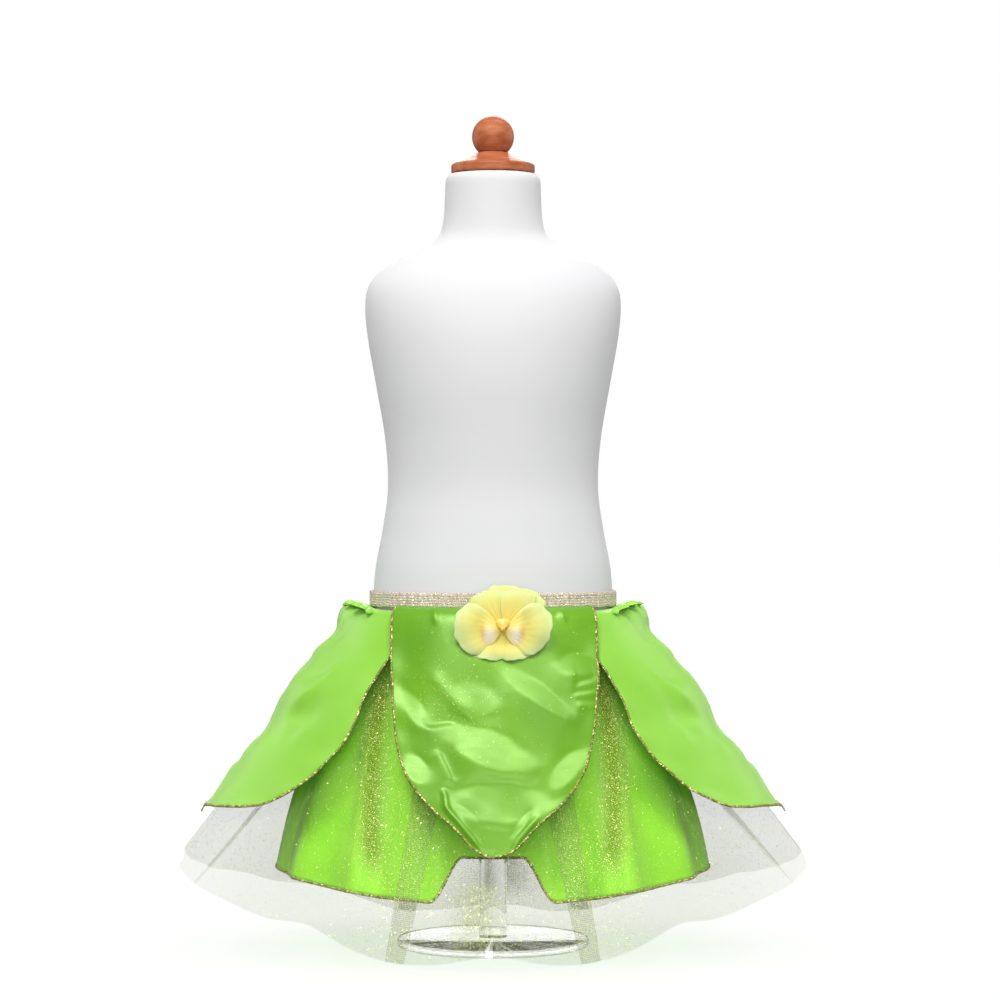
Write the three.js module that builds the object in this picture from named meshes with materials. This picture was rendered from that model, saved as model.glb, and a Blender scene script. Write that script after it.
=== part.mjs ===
// A child's fairy costume skirt, worn by a limbless dress form on a short stand.
// Millimetres, +Z up, the front faces -Y and the form stands on z = 0.
//
// From the inside out the skirt has: two satin underskirt halves with a rounded notch at the centre
// front and back, a glitter tulle overskirt with knife pleats, four satin leaf petals, an elastic
// waistband above them, and a fabric flower at the front of the waistband.
import * as THREE from "three";

// ---- Driving dimensions ----
const gap = 0.4; // air between two layers of cloth
const petalAir = 1.1; // air between the tulle and the petals that lie on it
const seamDegrees = 0.12; // keeps panels 0.4 mm apart where they meet
const satinThick = 1.0;
const tulleThick = 1.0;

const band = { halfWidth: 109.8, halfDepth: 83.3, thick: 2.2, bottom: 304.9, top: 319 };

// A skirt layer's side and front outlines, from the waist to the hem: distance from the axis, height.
const tulleOutline = {
  side: [[109.5, 296.8], [114, 297.2], [119.5, 296.6], [126, 290.8], [151, 254.8], [212.5, 168.5], [282, 76]],
  front: [[82.5, 296.8], [86, 296.8], [90, 294.5], [96, 286], [112, 232], [142, 120], [171, 6]],
};
const satinOutline = {
  side: [[108.5, 294.4], [114, 292], [122, 280], [149, 220], [182, 126], [195, 72]],
  front: [[81.5, 294.4], [85, 292], [89.5, 280], [103, 220], [121, 140], [138, 54]],
};

// Knife pleats of the tulle. Between the front and the side pleat the cloth lies two levels lower.
const levelStep = { waist: tulleThick + gap, hem: 3.0 };
const frontPleat = { edge: [20, 18.5], overlap: [10, 2.8] }; // degrees, at the waist and at the hem
const sidePleat = { edge: [41, 68], overlap: [8, 0.9] };
const foldRadius = 2.4; // how far a pleat's round edge reaches past its straight part

// Soft troughs of the tulle between its pleats: angle from the centre front, half width, depth at the hem.
const tulleTroughs = [
  { at: 0, wide: 6, deep: 5 },
  { at: 38, wide: 7, deep: 7 },
  { at: 142, wide: 7, deep: 7 },
  { at: 180, wide: 6, deep: 5 },
];
// The tulle's hem rises and dips: angle from the centre front, half width, rise.
const tulleHemWaves = [
  { at: 0, wide: 7, rise: 9 },
  { at: 17, wide: 8, rise: -4 },
  { at: 35, wide: 7, rise: 10 },
  { at: 68, wide: 10, rise: -4 },
  { at: 112, wide: 10, rise: -4 },
  { at: 145, wide: 7, rise: 10 },
  { at: 163, wide: 8, rise: -4 },
  { at: 180, wide: 7, rise: 9 },
];

// Folds of the satin underskirt: angle, half width, height outwards (negative is a trough).
const underFolds = [
  { at: 20, wide: 6, high: 4 },
  { at: 33, wide: 5, high: -5 },
  { at: 46, wide: 6, high: 5 },
  { at: 62, wide: 6, high: -3 },
  { at: 90, wide: 10, high: 0 },
  { at: 118, wide: 6, high: -3 },
  { at: 134, wide: 6, high: 5 },
  { at: 147, wide: 5, high: -5 },
  { at: 160, wide: 6, high: 4 },
];
const notch = { halfWidth: 41, corner: 14, height: 40 }; // rounded opening where the two halves meet

// The leaf petals: where each hangs, how far down the tulle its tip reaches as a share, its half
// widths from the waist to the tip, and how many petals lie beneath its edges.
const frontWidths = [88, 87, 86, 84, 82, 78, 69, 49, 1.2];
const sideWidths = [105, 105, 106, 110, 118, 117, 109, 84, 1.2];
const petals = [
  { name: "petal_left", at: -90, tip: 0.81, widths: sideWidths, over: 0 },
  { name: "petal_right", at: 90, tip: 0.81, widths: sideWidths, over: 0 },
  { name: "petal_front", at: 0.5, tip: 0.71, widths: frontWidths, over: 1 },
  { name: "petal_back", at: 180, tip: 0.71, widths: frontWidths, over: 1 },
];
// Large soft folds that all petals share: angle, half width, height, start and end down the skirt.
const petalFolds = [
  { at: -21, wide: 7, high: 4.0, from: 0.2, to: 0.8 },
  { at: 17, wide: 7, high: 4.5, from: 0.15, to: 0.75 },
  { at: 0, wide: 5, high: 2.5, from: 0.4, to: 0.85 },
  { at: 74, wide: 8, high: 3.5, from: 0.2, to: 0.8 },
  { at: -74, wide: 8, high: 3.5, from: 0.2, to: 0.8 },
  { at: 108, wide: 8, high: 3.5, from: 0.2, to: 0.8 },
  { at: -108, wide: 8, high: 3.5, from: 0.2, to: 0.8 },
  { at: 160, wide: 7, high: 4.0, from: 0.2, to: 0.8 },
  { at: -160, wide: 7, high: 4.0, from: 0.2, to: 0.8 },
  { at: 87, wide: 17, high: 7.5, from: 0.01, to: 0.1 },
  { at: -87, wide: 17, high: 7.5, from: 0.01, to: 0.1 },
];

// The dress form: height, half width and half depth down its outline, from its flat bottom to the neck.
const formOutline = [
  [170, 76, 56], [172, 84, 63], [178, 92, 69.5], [195, 100, 75], [230, 105, 78.5], [275, 105.4, 78.8],
  [298, 106.4, 79.6], [312, 107.6, 80.8], [340, 105.5, 79.5], [375, 99, 76], [412, 94.5, 73], [455, 97, 75],
  [505, 105.5, 79.5], [545, 112.5, 79.5], [573, 115, 75.5], [592, 112, 69.5], [606, 101, 62.5],
  [617, 82, 54.5], [626, 62, 47.5], [637, 49, 43.5], [652, 44.6, 42.2], [674, 43.2, 41.4],
  [686, 42.8, 41], [690.5, 41.4, 39.6], [692.6, 39, 37.2], [693.2, 36, 34.2],
];
const formRows = 50;
const cap = { radius: 37.6, top: 712.9, bottom: 693.6, rim: 8, neck: 14 };
const ball = { radius: 18.9, sunk: 5.3 };
const pole = { radius: 12.5, bottom: 7, top: 169.6 };
const base = { radius: 86, thick: 6.6, bevel: 2 };

// The fabric flower: its centre and the depth of its backmost petal.
const flower = { x: 8.6, z: 289, y: -107, thick: 1.0 };

const colours = {
  satin: 0x86d22f,
  underSatin: 0x7cc22b,
  tulle: 0xd9dccb,
  band: 0xd3c6a8,
  form: 0xe6e6e8,
  wood: 0xb5693f,
  flowerPale: 0xdfe79a,
  flowerYellow: 0xf0dc66,
  flowerCore: 0xeaa93a,
  stand: 0xe6f0f0,
};

// ---- Small helpers ----
const radians = THREE.MathUtils.degToRad;
const bump = (x) => Math.exp(-x * x); // a soft round fold, 1 at its middle
const turnBetween = (a, b) => ((((a - b) % 360) + 540) % 360) - 180; // degrees from b to a
const mix = ([a, b], t) => a + (b - a) * t;

// A smooth curve through an outline's points, read by its share of the length.
function outlineCurve(points) {
  return new THREE.SplineCurve(points.map(([r, z]) => new THREE.Vector2(r, z)));
}

// A skirt layer with an oval plan: the point at an angle from the centre front and a share of the drop.
function layerPoint(outline, degrees, drop) {
  const side = outline.sideCurve.getPointAt(drop);
  const front = outline.frontCurve.getPointAt(drop);
  const s = Math.sin(radians(degrees));
  const c = Math.cos(radians(degrees));
  return new THREE.Vector3(side.x * s, -front.x * c, side.y * s * s + front.y * c * c);
}

for (const outline of [tulleOutline, satinOutline]) {
  outline.sideCurve = outlineCurve(outline.side);
  outline.frontCurve = outlineCurve(outline.front);
}

// The outward normal of a layer, from two short steps along it.
function layerNormal(outline, degrees, drop) {
  const high = Math.max(drop - 0.01, 0);
  const low = Math.min(drop + 0.01, 1);
  const across = layerPoint(outline, degrees + 0.5, drop).sub(layerPoint(outline, degrees - 0.5, drop));
  const down = layerPoint(outline, degrees, low).sub(layerPoint(outline, degrees, high));
  return across.cross(down).negate().normalize();
}

function movedOut(outline, degrees, drop, distance) {
  const point = layerPoint(outline, degrees, drop);
  return point.addScaledVector(layerNormal(outline, degrees, drop), distance);
}

// Millimetres of cloth for each radian round the layer.
function roundness(outline, degrees, drop) {
  const side = outline.sideCurve.getPointAt(drop).x;
  const front = outline.frontCurve.getPointAt(drop).x;
  return Math.hypot(side * Math.cos(radians(degrees)), front * Math.sin(radians(degrees)));
}

// A closed mesh from indexed points, turned so that its faces point out.
function solidFrom(points, faces) {
  let volume = 0;
  const cross = new THREE.Vector3();
  for (const [a, b, c] of faces) volume += points[a].dot(cross.crossVectors(points[b], points[c]));
  const index = faces.flatMap(([a, b, c]) => (volume < 0 ? [a, c, b] : [a, b, c]));
  const geometry = new THREE.BufferGeometry().setFromPoints(points);
  geometry.setIndex(index);
  geometry.computeVertexNormals();
  return geometry;
}

// A wall of even thickness over a grid of points, grid[row][column]. A ring closes on itself in its columns.
function wall(grid, thick, ring = false) {
  const rows = grid.length;
  const columns = grid[0].length;
  const at = (r, c) => grid[THREE.MathUtils.clamp(r, 0, rows - 1)][
    ring ? (c + columns) % columns : THREE.MathUtils.clamp(c, 0, columns - 1)];
  const outer = [];
  const inner = [];
  for (let r = 0; r < rows; r++) {
    for (let c = 0; c < columns; c++) {
      const across = at(r, c + 1).clone().sub(at(r, c - 1));
      const down = at(r + 1, c).clone().sub(at(r - 1, c));
      const normal = across.cross(down).negate().normalize();
      outer.push(grid[r][c].clone().addScaledVector(normal, thick / 2));
      inner.push(grid[r][c].clone().addScaledVector(normal, -thick / 2));
    }
  }
  const points = [...outer, ...inner];
  const far = rows * columns;
  const id = (r, c) => r * columns + (ring ? (c + columns) % columns : c);
  const faces = [];
  const quad = (a, b, c, d) => faces.push([a, b, c], [a, c, d]);
  const spans = ring ? columns : columns - 1;
  for (let r = 0; r < rows - 1; r++) {
    for (let c = 0; c < spans; c++) {
      quad(id(r, c), id(r + 1, c), id(r + 1, c + 1), id(r, c + 1));
      quad(far + id(r, c), far + id(r, c + 1), far + id(r + 1, c + 1), far + id(r + 1, c));
    }
  }
  for (let c = 0; c < spans; c++) {
    quad(id(0, c), id(0, c + 1), far + id(0, c + 1), far + id(0, c));
    quad(id(rows - 1, c + 1), id(rows - 1, c), far + id(rows - 1, c), far + id(rows - 1, c + 1));
  }
  if (!ring) {
    for (let r = 0; r < rows - 1; r++) {
      quad(id(r + 1, 0), id(r, 0), far + id(r, 0), far + id(r + 1, 0));
      quad(id(r, spans), id(r + 1, spans), far + id(r + 1, spans), far + id(r, spans));
    }
  }
  return solidFrom(points, faces);
}

// Oval rings stacked into one solid with flat ends.
function stackedRings(rings, segments) {
  const points = [];
  for (const [z, halfWidth, halfDepth] of rings) {
    for (let i = 0; i < segments; i++) {
      const turn = (i / segments) * 2 * Math.PI;
      points.push(new THREE.Vector3(halfWidth * Math.sin(turn), -halfDepth * Math.cos(turn), z));
    }
  }
  const faces = [];
  for (let r = 0; r < rings.length - 1; r++) {
    for (let i = 0; i < segments; i++) {
      const next = (i + 1) % segments;
      const [a, b] = [r * segments + i, r * segments + next];
      const [c, d] = [(r + 1) * segments + next, (r + 1) * segments + i];
      faces.push([a, b, c], [a, c, d]);
    }
  }
  for (const [ring, turned] of [[0, true], [rings.length - 1, false]]) {
    const centre = points.push(new THREE.Vector3(0, 0, rings[ring][0])) - 1;
    for (let i = 0; i < segments; i++) {
      const [a, b] = [ring * segments + i, ring * segments + ((i + 1) % segments)];
      faces.push(turned ? [centre, b, a] : [centre, a, b]);
    }
  }
  return solidFrom(points, faces);
}

const group = new THREE.Group();

function add(name, geometry, color, roughness = 0.8, metalness = 0) {
  const mesh = new THREE.Mesh(geometry, new THREE.MeshStandardMaterial({ color, roughness, metalness }));
  mesh.name = name;
  group.add(mesh);
  return mesh;
}

// ---- Tulle overskirt, a front and a back panel that meet at the sides ----
// The cloth from the centre of a panel to its side seam: pairs of an angle and a level. Across a pleat
// the angle runs forward, back and forward again, while the level drops or rises by two.
function tulleStops(drop) {
  const step = THREE.MathUtils.radToDeg(foldRadius / roundness(tulleOutline, 45, drop)) / 2;
  const front = mix(frontPleat.edge, drop);
  const frontBack = front - mix(frontPleat.overlap, drop);
  const side = mix(sidePleat.edge, drop);
  const sideBack = side + mix(sidePleat.overlap, drop);
  const between = side - front;
  const left = 90 - sideBack;
  return [
    [0, 2], [7, 2], [13, 2],
    [front, 2], [front + step, 1.5], [front, 1], [(front + frontBack) / 2, 1], [frontBack, 1],
    [frontBack - step, 0.5], [frontBack, 0], [(front + frontBack) / 2, 0], [front + 2, 0],
    [front + 0.28 * between, 0], [front + 0.52 * between, 0], [front + 0.76 * between, 0],
    [side, 0], [sideBack, 0], [sideBack + step, 0.5], [sideBack, 1], [side, 1],
    [side - step, 1.5], [side, 2], [sideBack, 2],
    [sideBack + 0.3 * left, 2], [sideBack + 0.65 * left, 2], [90 - seamDegrees, 2],
  ];
}

function tullePoint(degrees, level, drop) {
  const height = levelStep.waist + (levelStep.hem - levelStep.waist) * Math.min(1, drop / 0.25);
  let out = level * height;
  for (const trough of tulleTroughs) {
    out -= trough.deep * drop * bump(turnBetween(Math.abs(degrees), trough.at) / trough.wide);
  }
  const point = movedOut(tulleOutline, degrees, drop, out);
  for (const wave of tulleHemWaves) {
    point.z += wave.rise * drop ** 3 * bump(turnBetween(Math.abs(degrees), wave.at) / wave.wide);
  }
  return point;
}

const tulleRows = [0, 0.025, 0.06, 0.13, 0.28, 0.46, 0.64, 0.82, 1];
for (const [name, facing] of [["tulle_front", 0], ["tulle_back", 180]]) {
  const grid = tulleRows.map((drop) => {
    const right = tulleStops(drop);
    const left = right.slice(1).reverse().map(([a, level]) => [-a, level]);
    return [...left, ...right].map(([a, level]) => tullePoint(facing + a, level, drop));
  });
  add(name, wall(grid, tulleThick), colours.tulle);
}

// ---- Satin underskirt, two halves that meet at the centre front and back ----
function underPoint(degrees, share) {
  const width = satinOutline.side.at(-1)[0];
  const across = Math.abs(width * Math.sin(radians(degrees)));
  // The notch's edge falls from its top to the hem over its rounded corner.
  const past = THREE.MathUtils.clamp((across - notch.halfWidth + notch.corner) / (2 * notch.corner), 0, 1);
  const rise = notch.height * (1 - THREE.MathUtils.smoothstep(past, 0, 1));
  const length = satinOutline.frontCurve.getLength();
  const drop = share * (1 - rise / length);
  let out = 0;
  for (const fold of underFolds) {
    const near = bump(turnBetween(Math.abs(degrees), fold.at) / fold.wide);
    out += fold.high * Math.min(1, drop * 1.6) * drop * near;
  }
  return movedOut(satinOutline, degrees, drop, out);
}

const underColumns = [seamDegrees, 4.5, 8, 10, 12, 14, 17, 21, 27, 33, 39, 46, 54, 62, 72, 82, 90];
const underAngles = [...underColumns, ...underColumns.slice(0, -1).reverse().map((a) => 180 - a)];
const underRows = [0, 0.08, 0.22, 0.4, 0.6, 0.8, 0.92, 1];
for (const [name, sign] of [["underskirt_right", 1], ["underskirt_left", -1]]) {
  const grid = underRows.map((share) => underAngles.map((a) => underPoint(sign * a, share)));
  add(name, wall(grid, satinThick), colours.underSatin, 0.45);
}

// ---- Leaf petals ----
// Walks round the layer from a petal's middle line until it has covered a length of cloth.
function angleAfter(start, length, drop) {
  const steps = 10;
  let degrees = start;
  for (let i = 0; i < steps; i++) {
    degrees += THREE.MathUtils.radToDeg(length / steps / roundness(tulleOutline, degrees, drop));
  }
  return degrees;
}

function petalLift(degrees, drop, over) {
  const height = levelStep.waist + (levelStep.hem - levelStep.waist) * Math.min(1, drop / 0.25);
  let lift = 2 * height + (tulleThick + satinThick) / 2 + petalAir + over * (satinThick + petalAir);
  for (const fold of petalFolds) {
    const middle = (fold.from + fold.to) / 2;
    const along = bump((drop - middle) / (fold.to - middle));
    lift += fold.high * along * bump(turnBetween(degrees, fold.at) / fold.wide);
  }
  return lift;
}

function petalGrid({ at, tip, widths, over }) {
  const width = new THREE.SplineCurve(widths.map((w, i) => new THREE.Vector2(i / (widths.length - 1), w)));
  const shared = tulleRows.filter((drop) => drop < tip);
  const own = [0.26, 0.48, 0.71, 0.78, 0.875, 0.92, 0.955, 0.98, 1].map((share) => share * tip);
  const drops = [...shared, ...own].sort((a, b) => a - b);
  const columns = 12;
  return drops.map((drop) => {
    const share = drop / tip;
    const halfWidth = Math.max(widths.at(-1), width.getPoint(share).y);
    return Array.from({ length: columns + 1 }, (_, c) => {
      const degrees = angleAfter(at, halfWidth * ((2 * c) / columns - 1), drop);
      return movedOut(tulleOutline, degrees, drop, petalLift(degrees, drop, over));
    });
  });
}

for (const petal of petals) {
  add(petal.name, wall(petalGrid(petal), satinThick), colours.satin, 0.4);
}

// ---- Waistband ----
const bandSegments = 48;
const bandGrid = [band.top, (band.top + band.bottom) / 2, band.bottom].map((z) =>
  Array.from({ length: bandSegments }, (_, i) => {
    const turn = (i / bandSegments) * 2 * Math.PI;
    return new THREE.Vector3(band.halfWidth * Math.sin(turn), -band.halfDepth * Math.cos(turn), z);
  }));
add("waistband", wall(bandGrid, band.thick, true), colours.band);

// ---- Fabric flower ----
// A petal is a shallow dish: it starts at the flower's centre and spreads along a direction in the XZ plane.
function flowerPetal({ turn, start, length, halfWidth, level, cup, lift = 0 }) {
  const along = new THREE.Vector3(Math.sin(radians(turn)), 0, Math.cos(radians(turn)));
  const across = new THREE.Vector3(along.z, 0, -along.x);
  const rows = 5;
  const columns = 6;
  const grid = [];
  for (let r = 0; r <= rows; r++) {
    const share = r / rows;
    const wide = halfWidth * Math.sqrt(Math.max(0.03, 1 - (1.25 * share - 0.35) ** 2 / 0.83));
    const row = [];
    for (let c = 0; c <= columns; c++) {
      const u = (2 * c) / columns - 1;
      const bend = 1 - 0.28 * u * u * share;
      const point = new THREE.Vector3(flower.x, flower.y - level - lift * share, flower.z);
      point.addScaledVector(along, start + length * share * bend);
      point.addScaledVector(across, wide * u);
      point.y -= cup * (u * u * share);
      row.push(point);
    }
    grid.push(row);
  }
  return wall(grid, flower.thick);
}

const flowerPetals = [
  { name: "flower_back", turn: 0, start: 8, length: 28.5, halfWidth: 20, level: 0, cup: 1.5 },
  { name: "flower_upper_left", turn: -34, start: 6, length: 32, halfWidth: 17, level: 4, cup: 1.2 },
  { name: "flower_upper_right", turn: 34, start: 6, length: 32, halfWidth: 17, level: 7.4, cup: 1.2 },
  { name: "flower_lip", turn: 180, start: 7, length: 20.5, halfWidth: 33, level: 3.4, cup: 1.5, lift: 9 },
  { name: "flower_side_left", turn: -102, start: 5, length: 38, halfWidth: 21, level: 15.5, cup: 1.5 },
  { name: "flower_side_right", turn: 102, start: 5, length: 38, halfWidth: 21, level: 15.5, cup: 1.5 },
  { name: "flower_hood", turn: 0, start: 4, length: 14, halfWidth: 10, level: 20, cup: 1.5 },
];
for (const { name, ...shape } of flowerPetals) {
  const yellow = name === "flower_hood";
  add(name, flowerPetal(shape), yellow ? colours.flowerYellow : colours.flowerPale, 0.8);
}
const throat = new THREE.SphereGeometry(3.6, 14, 10);
throat.translate(flower.x, flower.y - 22, flower.z);
add("flower_throat", throat, colours.flowerCore, 0.7);

// ---- Dress form ----
const formPoints = formOutline.map(([z, halfWidth, halfDepth]) => new THREE.Vector3(z, halfWidth, halfDepth));
const formCurve = new THREE.CatmullRomCurve3(formPoints, false, "centripetal");
const formRings = formCurve.getSpacedPoints(formRows).map((point) => point.toArray());
add("form_torso", stackedRings(formRings, 40), colours.form, 0.85);

const capProfile = [
  [0, cap.bottom], [cap.radius - 1.5, cap.bottom], [cap.radius, cap.bottom + 1.5],
  [cap.radius, cap.bottom + cap.rim - 1.5], [cap.radius - 2, cap.bottom + cap.rim],
  [cap.radius - 12, cap.bottom + cap.rim + 4.5], [cap.neck + 4, cap.top - 3], [cap.neck, cap.top - 0.6],
  [cap.neck - 1, cap.top], [0, cap.top],
].map(([r, z]) => new THREE.Vector2(r, z));
const capGeometry = new THREE.LatheGeometry(capProfile, 36);
capGeometry.rotateX(Math.PI / 2);
add("neck_cap", capGeometry, colours.wood, 0.5);

// The ball has a small flat under it, where it sits on the cap.
const ballStart = -ball.radius + ball.sunk;
const ballBottom = cap.top + 0.3;
const ballProfile = [new THREE.Vector2(0, ballBottom)];
const ballSteps = 12;
const ballFirst = Math.asin(ballStart / ball.radius);
for (let i = 0; i <= ballSteps; i++) {
  const angle = ballFirst + ((Math.PI / 2 - ballFirst) * i) / ballSteps;
  const r = i === ballSteps ? 0 : ball.radius * Math.cos(angle);
  ballProfile.push(new THREE.Vector2(r, ballBottom + ball.radius * Math.sin(angle) - ballStart));
}
const ballGeometry = new THREE.LatheGeometry(ballProfile, 28);
ballGeometry.rotateX(Math.PI / 2);
add("finial_ball", ballGeometry, colours.wood, 0.5);

const poleGeometry = new THREE.CylinderGeometry(pole.radius, pole.radius, pole.top - pole.bottom, 24);
poleGeometry.rotateX(Math.PI / 2);
poleGeometry.translate(0, 0, (pole.top + pole.bottom) / 2);
add("stand_pole", poleGeometry, colours.stand, 0.4);

const baseProfile = [
  [0, 0], [base.radius - 1, 0], [base.radius, 1], [base.radius, base.thick - base.bevel],
  [base.radius - base.bevel, base.thick], [0, base.thick],
].map(([r, z]) => new THREE.Vector2(r, z));
const baseGeometry = new THREE.LatheGeometry(baseProfile, 48);
baseGeometry.rotateX(Math.PI / 2);
add("stand_base", baseGeometry, colours.stand, 0.4);

export default group;
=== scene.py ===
import math

import bmesh
import bpy
import numpy as np
from mathutils import Matrix


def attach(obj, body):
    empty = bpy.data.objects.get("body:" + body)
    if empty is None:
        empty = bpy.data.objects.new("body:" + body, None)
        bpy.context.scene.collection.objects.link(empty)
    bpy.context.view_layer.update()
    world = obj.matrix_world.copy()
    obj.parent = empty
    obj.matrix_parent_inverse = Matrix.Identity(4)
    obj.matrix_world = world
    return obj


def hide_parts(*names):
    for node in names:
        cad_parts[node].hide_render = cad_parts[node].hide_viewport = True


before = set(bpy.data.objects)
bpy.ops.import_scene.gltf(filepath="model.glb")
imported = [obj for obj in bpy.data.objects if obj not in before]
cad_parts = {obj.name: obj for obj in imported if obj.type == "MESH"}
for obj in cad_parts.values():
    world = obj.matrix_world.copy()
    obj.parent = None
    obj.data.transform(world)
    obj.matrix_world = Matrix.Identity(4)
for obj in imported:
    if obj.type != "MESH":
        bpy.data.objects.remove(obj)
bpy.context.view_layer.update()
print("frame loaded:", len(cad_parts), "nodes")

# Everything below is worked out in millimetres on grids of points and turned into metres in addMesh.
# Angles go round the form in degrees: 0 is the centre front, 90 the viewer's right, 180 the back.
# "drop" is a share of the way down a layer of cloth, from the waistband to the hem.


def smoothCurve(points):
    # Catmull-Rom spline through the points, read by its share of the length.
    p = np.array(points, float)
    knots = np.vstack([p[:1], p, p[-1:]])
    t = np.linspace(0, len(p) - 1, 800)
    i = np.minimum(t.astype(int), len(p) - 2)
    f = (t - i)[:, None]
    a, b, c, d = knots[i], knots[i + 1], knots[i + 2], knots[i + 3]
    startSlope, endSlope = (c - a) / 2, (d - b) / 2
    curve = (2 * b - 2 * c + startSlope + endSlope) * f ** 3
    curve += (3 * c - 3 * b - 2 * startSlope - endSlope) * f ** 2 + startSlope * f + b
    length = np.r_[0, np.cumsum(np.linalg.norm(np.diff(curve, axis=0), axis=1))]

    def read(share):
        along = np.asarray(share, float) * length[-1]
        return np.stack([np.interp(along, length, column) for column in curve.T], -1)

    read.length = length[-1]
    return read


def bump(x):
    return np.exp(-x ** 2)  # a soft round fold, 1 at its middle


def turnBetween(a, b):
    return (a - b + 540) % 360 - 180  # degrees from b to a, between -180 and 180


def mix(pair, share):
    return pair[0] + (pair[1] - pair[0]) * share


def rampUp(x, start, end):
    s = np.clip((x - start) / (end - start), 0, 1)
    return s * s * (3 - 2 * s)


def ripple(x, y, seed, waves=7, long=90, short=22):
    # Sum of sine waves in fixed random directions, between about -1 and 1.
    rng = np.random.default_rng(seed)
    total = np.zeros(np.broadcast(x, y).shape)
    for wave in range(waves):
        length = short * (long / short) ** rng.random()
        turn, shift = rng.random(2) * 2 * np.pi
        total += np.sin(2 * np.pi * (x * np.cos(turn) + y * np.sin(turn)) / length + shift) * length / long
    return total / math.sqrt(waves)


def crease(x, y, start, end, wide, high):
    # A ridge (or a trough, if high is negative) along the line from start to end: its height falls as a
    # bell across the line, and fades out past the ends.
    start, end = np.array(start, float), np.array(end, float)
    along = end - start
    size = np.hypot(*along)
    t = ((x - start[0]) * along[0] + (y - start[1]) * along[1]) / size ** 2
    away = np.abs((x - start[0]) * along[1] - (y - start[1]) * along[0]) / size
    fade = bump(np.maximum(0, np.abs(t - 0.5) - 0.32) / 0.22)
    return high * fade * bump(away / wide)


def foldStep(x, y, start, end, wide, high):
    # The cloth steps outwards by high on the far side of the line from start to end (its right-hand side
    # as y runs down) over about wide to either side, and sinks back slowly beyond: the step catches light.
    start, end = np.array(start, float), np.array(end, float)
    along = end - start
    size = np.hypot(*along)
    t = ((x - start[0]) * along[0] + (y - start[1]) * along[1]) / size ** 2
    past = ((y - start[1]) * along[0] - (x - start[0]) * along[1]) / size
    fade = bump(np.maximum(0, np.abs(t - 0.5) - 0.30) / (0.10 + 0.8 * wide / size))
    return high * fade * np.tanh(past / wide) * bump(past / (2.6 * wide + 8))


def leaningPatches(patches, step=1.25):
    # Heights whose slopes come nearest to those asked for: each patch is an oval (middle, half length, half
    # width, turn of its length from x towards y in degrees) with a lean along x and y, and the cloth
    # between them follows. Solved with a Fourier transform, h = div(lean) over the squared wave number.
    x, y = np.meshgrid(np.arange(-150, 150, step), np.arange(-50, 270, step))
    lean = np.zeros((2, *x.shape))
    for middle, halfLength, halfWidth, turn, slope in patches:
        dx, dy = x - middle[0], y - middle[1]
        c, s = math.cos(math.radians(turn)), math.sin(math.radians(turn))
        r = np.hypot((dx * c + dy * s) / halfLength, (dy * c - dx * s) / halfWidth)
        lean += np.array(slope)[:, None, None] * (1 - rampUp(r, 0.8, 1.25))
    kx = 2 * np.pi * np.fft.fftfreq(x.shape[1], step)[None, :]
    ky = 2 * np.pi * np.fft.fftfreq(x.shape[0], step)[:, None]
    k2 = kx ** 2 + ky ** 2 + 0.012 ** 2  # the small term keeps a slow rise from building up
    height = np.fft.ifft2(-1j * (kx * np.fft.fft2(lean[0]) + ky * np.fft.fft2(lean[1])) / k2).real

    def read(px, py):
        u = np.clip((px + 150) / step, 0, x.shape[1] - 1.001)
        v = np.clip((py + 50) / step, 0, x.shape[0] - 1.001)
        a, b = u.astype(int), v.astype(int)
        u, v = u - a, v - b
        return ((height[b, a] * (1 - u) + height[b, a + 1] * u) * (1 - v)
                + (height[b + 1, a] * (1 - u) + height[b + 1, a + 1] * u) * v)

    return read


def slopedPatches(patches, rounds=9):
    # As leaningPatches, but each patch's slope is the one that the cloth ends up with: its lean is put
    # right a few times by how far the mean slope over the middle of the patch is still off.
    leans = [np.array(patch[4], float) for patch in patches]
    share = np.linspace(-0.5, 0.5, 5)
    for attempt in range(rounds):
        height = leaningPatches([(*patch[:4], lean) for patch, lean in zip(patches, leans)])
        for lean, (middle, halfLength, halfWidth, turn, wanted) in zip(leans, patches):
            a, b = np.meshgrid(share * halfLength, share * halfWidth)
            c, s = math.cos(math.radians(turn)), math.sin(math.radians(turn))
            x, y = middle[0] + a * c - b * s, middle[1] + a * s + b * c
            slope = np.array([(height(x + dx, y + dy) - height(x - dx, y - dy)).mean() / 2 for dx, dy in ((1, 0), (0, 1))])
            lean += 0.6 * (np.array(wanted) - slope)
            np.clip(lean, -0.85, 0.85, out=lean)
    return leaningPatches([(*patch[:4], lean) for patch, lean in zip(patches, leans)])


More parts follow.
